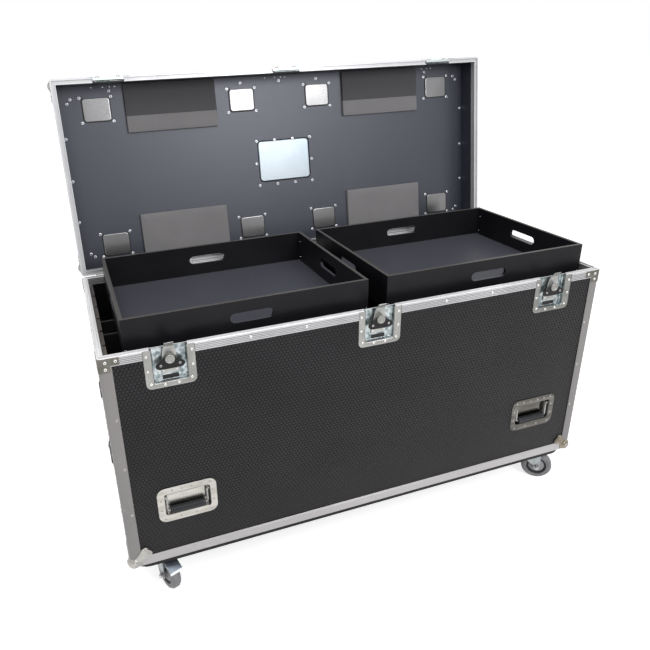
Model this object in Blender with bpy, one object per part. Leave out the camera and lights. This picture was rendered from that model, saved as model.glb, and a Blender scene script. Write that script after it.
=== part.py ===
"""Road case on casters: boards in an aluminium edge frame, hinged lid, lift-out trays, twist latches, spring handles."""

import math

import bmesh
import bpy
from mathutils import Vector

# Case body. Heights run from the floor, depths from the outer front face, widths from the middle
CASE_WIDTH = 1.524
CASE_DEPTH = 0.6096
BODY_HEIGHT = 0.6668
LID_HEIGHT = 0.1005
BOARD_THICKNESS = 0.012
SHEET_THICKNESS = 0.0012
FIT_GAP = 0.0003

# Aluminium edge frame
SKIN_THICKNESS = 0.0015
POST_WIDTH = 0.033
BOTTOM_RAIL_HEIGHT = 0.031
TOP_RAIL_HEIGHT = 0.024
INNER_RAIL_HEIGHT = 0.022
INNER_RAIL_THICKNESS = 0.0024
FRAME_CORNER_RADIUS = 0.009
CORNER_STEPS = 3
TONGUE_HEIGHT = 0.004
TONGUE_WIDTH = 0.006
TONGUE_INSET = 0.0055
GROOVE_CLEARANCE = 0.0008
RIM_GAP = 0.0006
BALL_CORNER_RADIUS = 0.0185
BALL_CORNER_INSET = 0.0135
BALL_STEPS = 12

# Skid board under the body
SKID_THICKNESS = 0.018
SKID_INSET = 0.008
SKID_CORNER_RADIUS = 0.05
SKID_CORNER_STEPS = 5

# Slotted liners and the dividers standing in them
LINER_THICKNESS = 0.0149
LINER_SLOT_DEPTH = 0.007
LINER_SLOT_PITCH_SHARE = 0.15
LINER_SLOTS = 5
DIVIDER_THICKNESS = 0.009
DIVIDER_SLOT_CLEARANCE = 0.0005

# Trays
TRAY_LEFT_GAP = 0.0677
TRAY_MIDDLE_GAP = 0.0586
TRAY_RIGHT_GAP = 0.0377
TRAY_SIDE_GAP = 0.0473
TRAY_HEIGHT = 0.106
TRAY_WALL = 0.0095
TRAY_FLOOR = 0.007
TRAY_STANDING_HEIGHT = 0.0724
TRAY_SLOT_WIDTH = 0.12
TRAY_SLOT_HEIGHT = 0.027
TRAY_SLOT_DROP = 0.0475
TRAY_SLOT_STEPS = 4

# Twist latches
LATCH_END_DISTANCE = 0.1742
LATCH_DISH_WIDTH = 0.133
LATCH_DISH_HEIGHT = 0.118
LATCH_PAN_WIDTH = 0.097
LATCH_PAN_FOOT = 0.022
LATCH_PAN_DEPTH = 0.012
DISH_CORNER_RADIUS = 0.014
PAN_CORNER_RADIUS = 0.006
LATCH_AXIS_DROP = 0.03
LATCH_STUD_RADIUS = 0.005
LATCH_SLOT_WIDTH = 0.04
LATCH_SLOT_HEIGHT = 0.011
HOOK_TOP_WIDTH = 0.024
HOOK_WIDTH = 0.038
HOOK_STRAP_WIDTH = 0.045
HOOK_STRAP_HEIGHT = 0.02
HOOK_RISE = 0.01
HOOK_DROP = 0.068
HOOK_THICKNESS = 0.0025
HOOK_TRAVEL = 0.006
HOOK_STUD_CLEARANCE = 0.0006
WING_WIDTH = 0.074
WING_THICKNESS = 0.003
WING_DROP = 0.022
WING_CREST = 0.01
WING_END_HEIGHT = 0.015
BOSS_RADIUS = 0.012
BOSS_HEIGHT = 0.0035
BOSS_STEPS = 16
KEEPER_DISH_HEIGHT = 0.068
NOTCH_SIDE_CLEARANCE = 0.0004

# Spring handles
HANDLE_DISH_WIDTH = 0.17
HANDLE_DISH_HEIGHT = 0.12
HANDLE_DISH_CORNER = 0.022
HANDLE_PAN_WIDTH = 0.13
HANDLE_PAN_HEIGHT = 0.076
HANDLE_PAN_CORNER = 0.01
HANDLE_PAN_DEPTH = 0.017
HANDLE_PIVOT_RISE = 0.024
HANDLE_PIVOT_DEPTH = 0.0075
HANDLE_LEG_LENGTH = 0.044
HANDLE_LEG_SPREAD = 0.057
HANDLE_ROD_RADIUS = 0.0035
GRIP_LENGTH = 0.1
GRIP_RADIUS = 0.0105
GRIP_STEPS = 12
FRONT_HANDLE_END_DISTANCE = 0.18
FRONT_HANDLE_HEIGHT = 0.185
SIDE_HANDLE_END_DISTANCE = 0.1248
SIDE_HANDLE_HEIGHT = 0.335

# Casters
WHEEL_RADIUS = 0.0508
WHEEL_WIDTH = 0.034
WHEEL_STEPS = 24
HUB_RADIUS = 0.033
HUB_BOSS_RADIUS = 0.013
AXLE_RADIUS = 0.005
AXLE_CLEARANCE = 0.0003
AXLE_NUT_RADIUS = 0.009
AXLE_NUT_REACH = 0.0275
CASTER_HEIGHT = 0.1303
CASTER_TRAIL = 0.0382
CASTER_END_DISTANCE = 0.0947
CASTER_SIDE_DISTANCE = 0.0862
CASTER_PLATE_LENGTH = 0.102
CASTER_PLATE_WIDTH = 0.084
CASTER_PLATE_THICKNESS = 0.0045
CASTER_PLATE_CORNER = 0.01
RACE_RADIUS = 0.029
RACE_HEIGHT = 0.007
FORK_HEAD_RADIUS = 0.03
FORK_HEAD_HEIGHT = 0.006
FORK_SHEET = 0.003
FORK_SIDE_GAP = 0.003
FORK_TOP_CLEARANCE = 0.003
FORK_AXLE_PAD = 0.012
FORK_EAR = 0.004
FORK_TURNS = (-1.2357, -1.2357, -0.6772, -0.6772)
PEDAL_HINGE_TRAIL = 0.044
PEDAL_HINGE_HEIGHT = 0.1085
PEDAL_LENGTH = 0.04
PEDAL_DROP = 0.017
PEDAL_THICKNESS = 0.003
PEDAL_LIP = 0.008
PEDAL_HINGE_RADIUS = 0.0025

# Lid and hinge
LID_OPEN_ANGLE = 1.7174
PIN_OUT = 0.003
KNUCKLE_RADIUS = 0.0026
KNUCKLE_GAP = 0.0005
KNUCKLES = 7
KNUCKLE_STEPS = 12
LEAF_HEIGHT = 0.024
LEAF_END_DISTANCE = 0.045
LEAF_KNUCKLE_GAP = 0.0006
CUP_SIZE = 0.0765
CUP_RISE = 0.0025
CUP_RECESS_DEPTH = 0.011
CUP_WALL = 0.002
CUP_END_DISTANCE = 0.1315
CUP_MIDDLE_DISTANCE = 0.1407
CUP_EDGE_DISTANCE = 0.0847
LABEL_DISH_WIDTH = 0.191
LABEL_DISH_HEIGHT = 0.14
LABEL_FLANGE = 0.02
LABEL_CORNER_RADIUS = 0.012
LABEL_HOLE_CLEARANCE = 0.003
PAD_LENGTH = 0.305
PAD_WIDTH = 0.1524
PAD_THICKNESS = 0.012
PAD_CENTRE_SHARES = (-0.254, 0.256)
PAD_EDGE_DISTANCE = 0.0172

# Heights and insets that follow from the sizes above
BODY_BOTTOM = CASTER_HEIGHT + SKID_THICKNESS
BODY_TOP = BODY_BOTTOM + BODY_HEIGHT
BOARD_OUT = SKIN_THICKNESS + FIT_GAP
BOARD_IN = BOARD_OUT + BOARD_THICKNESS
HALF_WIDTH = CASE_WIDTH / 2
MIDDLE_DEPTH = CASE_DEPTH / 2
FLANGE_OUT = SKIN_THICKNESS - SHEET_THICKNESS
PAST = BOARD_THICKNESS
TRAY_WIDTH = (CASE_WIDTH - TRAY_LEFT_GAP - TRAY_MIDDLE_GAP - TRAY_RIGHT_GAP) / 2
TRAY_DEPTH = CASE_DEPTH - 2 * TRAY_SIDE_GAP
TRAY_TOP = BODY_TOP + TRAY_STANDING_HEIGHT
TRAY_BOTTOM = TRAY_TOP - TRAY_HEIGHT
LINER_IN = BOARD_IN + FIT_GAP + LINER_THICKNESS
LATCH_PAN_BACK = FLANGE_OUT + LATCH_PAN_DEPTH
PANEL_INNER_W = LID_HEIGHT - BOARD_IN
SHARP_ANGLE = math.radians(32)


# Shapes: each is a list of points and a list of faces

def loft(loops, ring=False):
    """Faces between neighbouring loops of equal count, capped at both ends or joined into a ring."""
    count = len(loops[0])
    points = [point for loop in loops for point in loop]
    faces = []
    rows = len(loops)
    for row in range(rows if ring else rows - 1):
        start = row * count
        after = (row + 1) % rows * count
        for i in range(count):
            j = (i + 1) % count
            faces.append((start + i, start + j, after + j, after + i))
    if not ring:
        faces.append(tuple(range(count))[::-1])
        faces.append(tuple(range((rows - 1) * count, rows * count)))
    return points, faces


def join(shapes):
    """Several shapes as one list of points and faces."""
    points = []
    faces = []
    for some_points, some_faces in shapes:
        shift = len(points)
        points += some_points
        faces += [tuple(i + shift for i in face) for face in some_faces]
    return points, faces


def moved(shape, x=0.0, y=0.0, z=0.0):
    points, faces = shape
    return [(p[0] + x, p[1] + y, p[2] + z) for p in points], faces


def rectangle(x0, x1, y0, y1):
    return [(x0, y0), (x1, y0), (x1, y1), (x0, y1)]


def rounded_rectangle(width, height, radius, steps):
    """Outline about the origin, starting at the lower right corner."""
    outline = []
    corner_shares = ((1, -1), (1, 1), (-1, 1), (-1, -1))
    for quarter, (sx, sy) in enumerate(corner_shares):
        cx = sx * (width / 2 - radius)
        cy = sy * (height / 2 - radius)
        for step in range(steps + 1):
            angle = (quarter - 1 + step / steps) * math.pi / 2
            outline.append((cx + radius * math.cos(angle), cy + radius * math.sin(angle)))
    return outline


def circle(radius, steps, x=0.0, y=0.0):
    turns = [2 * math.pi * step / steps for step in range(steps)]
    return [(x + radius * math.cos(turn), y + radius * math.sin(turn)) for turn in turns]


def prism_z(outline, low, high):
    return loft([[(a, b, z) for a, b in outline] for z in (low, high)])


def prism_y(outline, low, high):
    return loft([[(a, y, b) for a, b in outline] for y in (low, high)])


def prism_x(outline, low, high):
    return loft([[(x, a, b) for a, b in outline] for x in (low, high)])


def box(x0, x1, y0, y1, z0, z1):
    return prism_z(rectangle(x0, x1, y0, y1), z0, z1)


def edge_ring(profile, width, depth, corner_radius):
    """Closed profile of (inset, height) points led round a rectangle whose middle is the origin."""
    loops = []
    for inset, height in profile:
        radius = max(corner_radius - inset, SKIN_THICKNESS / 2)
        outline = rounded_rectangle(width - 2 * inset, depth - 2 * inset, radius, CORNER_STEPS)
        loops.append([(x, y, height) for x, y in outline])
    return loft(loops, ring=True)


def turned(profile, steps):
    """Closed profile of (radius, height) points turned about the X axis."""
    loops = []
    for radius, height in profile:
        loops.append([(height, a, b) for a, b in circle(radius, steps)])
    return loft(loops, ring=True)


def ball(radius, x, y, z):
    loops = []
    for step in range(1, BALL_STEPS // 2):
        angle = math.pi * step / (BALL_STEPS // 2)
        level = z - radius * math.cos(angle)
        loops.append([(a, b, level) for a, b in circle(radius * math.sin(angle), BALL_STEPS, x, y)])
    return loft(loops)


def bent_rod(stations, steps):
    """Round rod through (x, y, z, radius) stations lying in one plane that holds the X axis."""
    spots = [Vector(station[:3]) for station in stations]
    across = Vector((1, 0, 0)).cross(spots[-2] - spots[0]).normalized()
    for spot in spots:
        if Vector((1, 0, 0)).cross(spot - spots[0]).length > FIT_GAP:
            across = Vector((1, 0, 0)).cross(spot - spots[0]).normalized()
    loops = []
    for i, spot in enumerate(spots):
        before = (spot - spots[i - 1]).normalized() if i else Vector((1, 0, 0))
        after = (spots[i + 1] - spot).normalized() if i + 1 < len(spots) else Vector((1, 0, 0))
        along = (before + after).normalized()
        side = along.cross(across)
        stretch = 1 / max(before.dot(along), math.cos(math.pi / 4))
        radius = stations[i][3]
        loop = []
        for a, b in circle(radius, steps):
            loop.append(tuple(spot + across * a + side * b * stretch))
        loops.append(loop)
    return loft(loops)


# Objects

def as_mesh(name, shape):
    points, faces = shape
    mesh = bpy.data.meshes.new(name)
    mesh.from_pydata(points, [], faces)
    work = bmesh.new()
    work.from_mesh(mesh)
    bmesh.ops.recalc_face_normals(work, faces=work.faces)
    work.to_mesh(mesh)
    work.free()
    return mesh


def put(name, mesh, material, parent, place=(0.0, 0.0, 0.0), turn=(0.0, 0.0, 0.0)):
    thing = bpy.data.objects.new(name, mesh)
    bpy.context.scene.collection.objects.link(thing)
    thing.parent = parent
    thing.location = place
    thing.rotation_euler = turn
    if not mesh.materials:
        mesh.materials.append(material)
    return thing


def part(name, shape, material, parent, place=(0.0, 0.0, 0.0), turn=(0.0, 0.0, 0.0), smooth=False):
    mesh = as_mesh(name, shape)
    if smooth:
        mesh.shade_smooth()
        mesh.set_sharp_from_angle(angle=SHARP_ANGLE)
    return put(name, mesh, material, parent, place, turn)


def change(thing, operation, shapes):
    """Adds or removes shapes, given in the thing's own coordinates."""
    helper = bpy.data.objects.new(thing.name + "_" + operation.lower(), as_mesh(thing.name + "_helper", join(shapes)))
    bpy.context.scene.collection.objects.link(helper)
    helper.parent = thing
    helper.hide_render = True
    helper.display_type = "WIRE"
    modifier = thing.modifiers.new(operation.lower(), "BOOLEAN")
    modifier.operation = operation
    modifier.solver = "EXACT"
    modifier.object = helper


def pivot(name, parent, place, turn=(0.0, 0.0, 0.0)):
    thing = bpy.data.objects.new(name, None)
    bpy.context.scene.collection.objects.link(thing)
    thing.parent = parent
    thing.location = place
    thing.rotation_euler = turn
    return thing


# Materials

def principled(name, colour, roughness, metallic):
    material = bpy.data.materials.new(name)
    material.use_nodes = True
    shader = material.node_tree.nodes["Principled BSDF"]
    shader.inputs["Base Color"].default_value = (*colour, 1.0)
    shader.inputs["Roughness"].default_value = roughness
    shader.inputs["Metallic"].default_value = metallic
    material.diffuse_color = (*colour, 1.0)
    return material


def black_laminate():
    return principled("black_laminate", (0.02, 0.02, 0.022), 0.35, 0.0)


def black_board():
    return principled("black_board", (0.018, 0.018, 0.02), 0.5, 0.0)


def satin_aluminium():
    return principled("satin_aluminium", (0.62, 0.61, 0.61), 0.4, 1.0)


def zinc_plate():
    return principled("zinc_plate", (0.58, 0.6, 0.6), 0.32, 1.0)


def black_plastic():
    return principled("black_plastic", (0.012, 0.012, 0.012), 0.45, 0.0)


def black_rubber():
    return principled("black_rubber", (0.02, 0.02, 0.022), 0.6, 0.0)


def grey_tyre():
    return principled("grey_tyre", (0.2, 0.19, 0.19), 0.65, 0.0)


def grey_foam():
    return principled("grey_foam", (0.1, 0.09, 0.085), 0.95, 0.0)


# Body boards

def wide_board(name, outer, inner, parent, material):
    """Board as wide as the case with its two outer upright corners rounded to fit inside the posts."""
    reach = HALF_WIDTH - BOARD_OUT
    radius = FRAME_CORNER_RADIUS - BOARD_OUT
    inward = 1 if inner > outer else -1
    outline = [(-reach, inner)]
    for sign, steps in ((-1, range(CORNER_STEPS + 1)), (1, range(CORNER_STEPS, -1, -1))):
        for step in steps:
            angle = step / CORNER_STEPS * math.pi / 2
            side = sign * (reach - radius + radius * math.cos(angle))
            outline.append((side, outer + inward * (radius - radius * math.sin(angle))))
    outline.append((reach, inner))
    return part(name, prism_z(outline, BODY_BOTTOM + BOARD_IN + FIT_GAP, BODY_TOP - BOARD_OUT), material, parent)


def build_front_panel(parent, material):
    panel = wide_board("front_panel", BOARD_OUT, BOARD_IN, parent, material)
    cuts = []
    half = LATCH_PAN_WIDTH / 2 + SHEET_THICKNESS + FIT_GAP
    foot = BODY_TOP - LATCH_DISH_HEIGHT + LATCH_PAN_FOOT - SHEET_THICKNESS - FIT_GAP
    for x in latch_places():
        cuts.append(box(x - half, x + half, -PAST, BOARD_IN + PAST, foot, BODY_TOP + PAST))
    cuts += [handle_hole(x) for x in front_handle_places()]
    change(panel, "DIFFERENCE", cuts)
    return panel


def front_handle_places():
    reach = HALF_WIDTH - FRONT_HANDLE_END_DISTANCE
    return (-reach, reach)


def handle_outline():
    margin = 2 * (SHEET_THICKNESS + FIT_GAP)
    return rounded_rectangle(
        HANDLE_PAN_WIDTH + margin, HANDLE_PAN_HEIGHT + margin, HANDLE_PAN_CORNER + margin / 2, CORNER_STEPS
    )


def handle_hole(x):
    hole = prism_y(handle_outline(), -PAST, BOARD_IN + PAST)
    return moved(hole, x, 0.0, BODY_BOTTOM + FRONT_HANDLE_HEIGHT)


def build_back_panel(parent, material):
    return wide_board("back_panel", CASE_DEPTH - BOARD_OUT, CASE_DEPTH - BOARD_IN, parent, material)


def side_handle_depths():
    return (SIDE_HANDLE_END_DISTANCE, CASE_DEPTH - SIDE_HANDLE_END_DISTANCE)


def build_side_panel(name, side, parent, material):
    inner, outer = sorted((side * (HALF_WIDTH - BOARD_IN), side * (HALF_WIDTH - BOARD_OUT)))
    shape = box(
        inner, outer,
        BOARD_IN + FIT_GAP, CASE_DEPTH - BOARD_IN - FIT_GAP,
        BODY_BOTTOM + BOARD_IN + FIT_GAP, BODY_TOP - BOARD_OUT,
    )
    panel = part(name, shape, material, parent)
    hole = prism_x(handle_outline(), inner - PAST, outer + PAST)
    cuts = [moved(hole, 0.0, y, BODY_BOTTOM + SIDE_HANDLE_HEIGHT) for y in side_handle_depths()]
    change(panel, "DIFFERENCE", cuts)
    return panel


def build_base_board(parent, material):
    """Floor board with the skid board glued under it, the bottom rails let in between them."""
    neck = BOTTOM_RAIL_HEIGHT + FIT_GAP
    under = BODY_BOTTOM - FIT_GAP
    over = BODY_BOTTOM + BOARD_OUT
    rows = (
        (SKID_INSET, SKID_CORNER_RADIUS, CASTER_HEIGHT),
        (SKID_INSET, SKID_CORNER_RADIUS, under),
        (neck, SKID_CORNER_RADIUS - neck, under),
        (neck, SKID_CORNER_RADIUS - neck, over),
        (BOARD_OUT, FRAME_CORNER_RADIUS - BOARD_OUT, over),
        (BOARD_OUT, FRAME_CORNER_RADIUS - BOARD_OUT, BODY_BOTTOM + BOARD_IN),
    )
    loops = []
    for inset, radius, height in rows:
        outline = rounded_rectangle(CASE_WIDTH - 2 * inset, CASE_DEPTH - 2 * inset, radius, SKID_CORNER_STEPS)
        loops.append([(a, b + MIDDLE_DEPTH, height) for a, b in outline])
    return part("base_board", loft(loops), material, parent)


# Edge frame: posts, bottom rails, top rails with their tongue, ball corners

def body_frame_profile():
    inner = BOARD_IN + FIT_GAP
    inner_far = inner + INNER_RAIL_THICKNESS
    tongue_far = TONGUE_INSET + TONGUE_WIDTH
    leg = BODY_TOP - INNER_RAIL_HEIGHT
    web = BODY_TOP - SKIN_THICKNESS
    base = BODY_BOTTOM + SKIN_THICKNESS
    return [
        (0.0, base), (SKIN_THICKNESS, BODY_BOTTOM), (BOTTOM_RAIL_HEIGHT, BODY_BOTTOM), (BOTTOM_RAIL_HEIGHT, base),
        (SKIN_THICKNESS, base), (SKIN_THICKNESS, web), (inner, web), (inner, leg), (inner_far, leg),
        (inner_far, BODY_TOP), (tongue_far, BODY_TOP), (tongue_far, BODY_TOP + TONGUE_HEIGHT),
        (TONGUE_INSET, BODY_TOP + TONGUE_HEIGHT), (TONGUE_INSET, BODY_TOP), (0.0, BODY_TOP),
    ]


def build_body_frame(parent, material):
    ring = edge_ring(body_frame_profile(), CASE_WIDTH, CASE_DEPTH, FRAME_CORNER_RADIUS)
    frame = part("body_frame", moved(ring, 0.0, MIDDLE_DEPTH), material, parent)
    low = BODY_BOTTOM + BOTTOM_RAIL_HEIGHT
    high = BODY_TOP - TOP_RAIL_HEIGHT
    reach = HALF_WIDTH - POST_WIDTH
    windows_y = box(-reach, reach, -PAST, CASE_DEPTH + PAST, low, high)
    windows_x = box(-HALF_WIDTH - PAST, HALF_WIDTH + PAST, POST_WIDTH, CASE_DEPTH - POST_WIDTH, low, high)
    change(frame, "DIFFERENCE", [windows_y])
    change(frame, "DIFFERENCE", [windows_x])
    notches = []
    openings = []
    for x in latch_places():
        flange = LATCH_DISH_WIDTH / 2 + NOTCH_SIDE_CLEARANCE
        pan = LATCH_PAN_WIDTH / 2 + SHEET_THICKNESS + NOTCH_SIDE_CLEARANCE
        notches.append(box(x - flange, x + flange, -PAST, BOARD_OUT, high - PAST, BODY_TOP + TONGUE_HEIGHT / 2))
        openings.append(box(x - pan, x + pan, -PAST, BOARD_IN, high - PAST / 2, BODY_TOP + PAST))
    change(frame, "DIFFERENCE", notches)
    change(frame, "DIFFERENCE", openings)
    return frame


def build_ball_corner_shapes():
    """Ball corners over the four bottom corners, hollow where the boards run."""
    shapes = []
    for x in (-HALF_WIDTH + BALL_CORNER_INSET, HALF_WIDTH - BALL_CORNER_INSET):
        for y in (BALL_CORNER_INSET, CASE_DEPTH - BALL_CORNER_INSET):
            shapes.append(ball(BALL_CORNER_RADIUS, x, y, BODY_BOTTOM + BALL_CORNER_INSET))
    return shapes


def add_ball_corners(frame):
    change(frame, "UNION", build_ball_corner_shapes())
    hollow = box(
        -HALF_WIDTH + SKIN_THICKNESS, HALF_WIDTH - SKIN_THICKNESS,
        SKIN_THICKNESS, CASE_DEPTH - SKIN_THICKNESS,
        BODY_BOTTOM + SKIN_THICKNESS, BODY_BOTTOM + BOTTOM_RAIL_HEIGHT + BALL_CORNER_RADIUS,
    )
    change(frame, "DIFFERENCE", [hollow])


# Liners and dividers

def slot_depths():
    middle = (LINER_SLOTS - 1) / 2
    pitch = LINER_SLOT_PITCH_SHARE * CASE_DEPTH
    return [MIDDLE_DEPTH + (number - middle) * pitch for number in range(LINER_SLOTS)]


def build_liner(name, side, parent, material):
    """Board with upright slots in its inner face and windows that clear the backs of the handle dishes."""
    outer = HALF_WIDTH - BOARD_IN - FIT_GAP
    inner = outer - LINER_THICKNESS
    half_slot = DIVIDER_THICKNESS / 2 + DIVIDER_SLOT_CLEARANCE
    near = BOARD_IN + FIT_GAP
    outline = [(side * outer, near), (side * inner, near)]
    for depth in slot_depths():
        bottom = inner + LINER_SLOT_DEPTH
        outline += [
            (side * inner, depth - half_slot), (side * bottom, depth - half_slot),
            (side * bottom, depth + half_slot), (side * inner, depth + half_slot),
        ]
    outline += [(side * inner, CASE_DEPTH - near), (side * outer, CASE_DEPTH - near)]
    low = BODY_BOTTOM + BOARD_IN + FIT_GAP
    liner = part(name, prism_z(outline, low, BODY_TOP - INNER_RAIL_HEIGHT - FIT_GAP), material, parent)
    reach = sorted((side * (outer + PAST), side * (inner - PAST)))
    hole = prism_x(handle_outline(), *reach)
    change(liner, "DIFFERENCE", [moved(hole, 0.0, y, BODY_BOTTOM + SIDE_HANDLE_HEIGHT) for y in side_handle_depths()])
    return liner


def build_divider(name, depth, parent, material):
    end = HALF_WIDTH - LINER_IN + LINER_SLOT_DEPTH - DIVIDER_SLOT_CLEARANCE
    shape = box(
        -end, end,
        depth - DIVIDER_THICKNESS / 2, depth + DIVIDER_THICKNESS / 2,
        BODY_BOTTOM + BOARD_IN + FIT_GAP, TRAY_BOTTOM - FIT_GAP,
    )
    return part(name, shape, material, parent)


# Trays

def stadium(width, height):
    return rounded_rectangle(width, height, height / 2, TRAY_SLOT_STEPS)


def tray_places():
    left = -HALF_WIDTH + TRAY_LEFT_GAP + TRAY_WIDTH / 2
    right = HALF_WIDTH - TRAY_RIGHT_GAP - TRAY_WIDTH / 2
    return (left, right)


def build_tray(name, x, parent, material):
    """Open box with a stadium hand slot through each wall, its origin at the middle of its underside."""
    half_w = TRAY_WIDTH / 2
    half_d = TRAY_DEPTH / 2
    tray = part(name, box(-half_w, half_w, -half_d, half_d, 0.0, TRAY_HEIGHT), material, parent,
                (x, MIDDLE_DEPTH, TRAY_BOTTOM))
    inner_w = half_w - TRAY_WALL
    inner_d = half_d - TRAY_WALL
    hollow = box(-inner_w, inner_w, -inner_d, inner_d, TRAY_FLOOR, TRAY_HEIGHT + PAST)
    slot_height = TRAY_HEIGHT - TRAY_SLOT_DROP
    slot = stadium(TRAY_SLOT_WIDTH, TRAY_SLOT_HEIGHT)
    change(tray, "DIFFERENCE", [hollow])
    change(tray, "DIFFERENCE", [moved(prism_y(slot, -half_d - PAST, half_d + PAST), 0.0, 0.0, slot_height)])
    change(tray, "DIFFERENCE", [moved(prism_x(slot, -half_w - PAST, half_w + PAST), 0.0, 0.0, slot_height)])
    return tray


# Latches

def latch_places():
    reach = HALF_WIDTH - LATCH_END_DISTANCE
    return (-reach, 0.0, reach)


def flange_outline(width, foot, top, radius):
    """Plate with two rounded lower corners and a straight top edge."""
    outline = []
    for sign, start in ((-1, math.pi), (1, 1.5 * math.pi)):
        for step in range(CORNER_STEPS + 1):
            angle = start + step / CORNER_STEPS * math.pi / 2
            cx = sign * (width / 2 - radius)
            outline.append((cx + radius * math.cos(angle), foot + radius + radius * math.sin(angle)))
    return outline + [(width / 2, top), (-width / 2, top)]


def dish_shape(height):
    """Flange and pan of a latch dish, open at the top, which is the height zero."""
    flange = prism_y(flange_outline(LATCH_DISH_WIDTH, -height, -RIM_GAP, DISH_CORNER_RADIUS), FLANGE_OUT,
                     SKIN_THICKNESS)
    pan_width = LATCH_PAN_WIDTH + 2 * SHEET_THICKNESS
    foot = -height + LATCH_PAN_FOOT - SHEET_THICKNESS
    pan = prism_y(flange_outline(pan_width, foot, -RIM_GAP - FIT_GAP, PAN_CORNER_RADIUS + SHEET_THICKNESS),
                  FLANGE_OUT + SHEET_THICKNESS / 2, LATCH_PAN_BACK + SHEET_THICKNESS)
    hollow = prism_y(flange_outline(LATCH_PAN_WIDTH, -height + LATCH_PAN_FOOT, PAST, PAN_CORNER_RADIUS), -PAST,
                     LATCH_PAN_BACK)
    return flange, pan, hollow


def build_latch_dish(name, x, parent, material):
    flange, pan, hollow = dish_shape(LATCH_DISH_HEIGHT)
    dish = part(name, flange, material, parent, (x, 0.0, BODY_TOP))
    change(dish, "UNION", [pan])
    change(dish, "DIFFERENCE", [hollow])
    stud_front = wing_back() + FIT_GAP
    stud = prism_y(circle(LATCH_STUD_RADIUS, BOSS_STEPS), stud_front, LATCH_PAN_BACK + SHEET_THICKNESS / 2)
    change(dish, "UNION", [moved(stud, 0.0, 0.0, -LATCH_AXIS_DROP)])
    half = LATCH_SLOT_WIDTH / 2
    slot_top = -HOOK_DROP - HOOK_TRAVEL - RIM_GAP
    slot = box(-half, half, LATCH_PAN_BACK - PAST / 2, LATCH_PAN_BACK + PAST, slot_top - LATCH_SLOT_HEIGHT, slot_top)
    change(dish, "DIFFERENCE", [slot])
    return dish


def hook_back():
    return LATCH_PAN_BACK - FIT_GAP


def wing_back():
    return hook_back() - HOOK_THICKNESS - FIT_GAP


def build_hook(name, x, parent, material):
    """Flat hook plate with a slot round the stud and a wide strap at its foot."""
    top = HOOK_RISE
    half_top = HOOK_TOP_WIDTH / 2
    half = HOOK_WIDTH / 2
    half_strap = HOOK_STRAP_WIDTH / 2
    strap = -HOOK_DROP + HOOK_STRAP_HEIGHT
    outline = [
        (-half_strap, -HOOK_DROP), (half_strap, -HOOK_DROP), (half_strap, strap), (half, strap),
        (half, -LATCH_AXIS_DROP), (half_top, top), (-half_top, top), (-half, -LATCH_AXIS_DROP),
        (-half, strap), (-half_strap, strap),
    ]
    hook = part(name, prism_y(outline, hook_back() - HOOK_THICKNESS, hook_back()), material, parent,
                (x, 0.0, BODY_TOP))
    width = 2 * (LATCH_STUD_RADIUS + HOOK_STUD_CLEARANCE)
    slot = prism_y(rounded_rectangle(width, width + HOOK_TRAVEL, width / 2, TRAY_SLOT_STEPS), -PAST,
                   LATCH_PAN_BACK + PAST)
    change(hook, "DIFFERENCE", [moved(slot, 0.0, 0.0, -LATCH_AXIS_DROP + HOOK_TRAVEL / 2)])
    return hook


def build_wing(name, x, parent, material):
    """Butterfly wing with drooping ends and its round boss, turning about the stud."""
    half = WING_WIDTH / 2
    end_top = -WING_DROP + WING_END_HEIGHT
    outline = [
        (-half, -WING_DROP + WING_END_HEIGHT / 2), (-half + WING_END_HEIGHT / 2, -WING_DROP),
        (half - WING_END_HEIGHT / 2, -WING_DROP), (half, -WING_DROP + WING_END_HEIGHT / 2),
        (half - WING_END_HEIGHT / 3, end_top), (BOSS_RADIUS, WING_CREST), (-BOSS_RADIUS, WING_CREST),
        (-half + WING_END_HEIGHT / 3, end_top),
    ]
    back = wing_back()
    front = back - WING_THICKNESS
    wing = part(name, prism_y(outline, front, back), material, parent, (x, 0.0, BODY_TOP - LATCH_AXIS_DROP))
    boss = prism_y(circle(BOSS_RADIUS, BOSS_STEPS), front - BOSS_HEIGHT, back - WING_THICKNESS / 2)
    change(wing, "UNION", [boss])
    return wing


# Spring handles

def build_handle_dish(name, parent, material, place, turn):
    """Rounded flange round a straight pan, seen from outside along its own depth axis."""
    back = FLANGE_OUT + HANDLE_PAN_DEPTH
    sheet = 2 * SHEET_THICKNESS
    shares = (
        (HANDLE_PAN_WIDTH, HANDLE_PAN_HEIGHT, HANDLE_PAN_CORNER, back),
        (HANDLE_PAN_WIDTH, HANDLE_PAN_HEIGHT, HANDLE_PAN_CORNER, FLANGE_OUT),
        (HANDLE_DISH_WIDTH, HANDLE_DISH_HEIGHT, HANDLE_DISH_CORNER, FLANGE_OUT),
        (HANDLE_DISH_WIDTH, HANDLE_DISH_HEIGHT, HANDLE_DISH_CORNER, SKIN_THICKNESS),
        (HANDLE_PAN_WIDTH + sheet, HANDLE_PAN_HEIGHT + sheet, HANDLE_PAN_CORNER + sheet / 2, SKIN_THICKNESS),
        (HANDLE_PAN_WIDTH + sheet, HANDLE_PAN_HEIGHT + sheet, HANDLE_PAN_CORNER + sheet / 2, back + sheet / 2),
    )
    loops = []
    for width, height, radius, depth in shares:
        outline = rounded_rectangle(width, height, radius, CORNER_STEPS)
        loops.append([(a, depth, b) for a, b in outline])
    return part(name, loft(loops), material, parent, place, turn)


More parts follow.
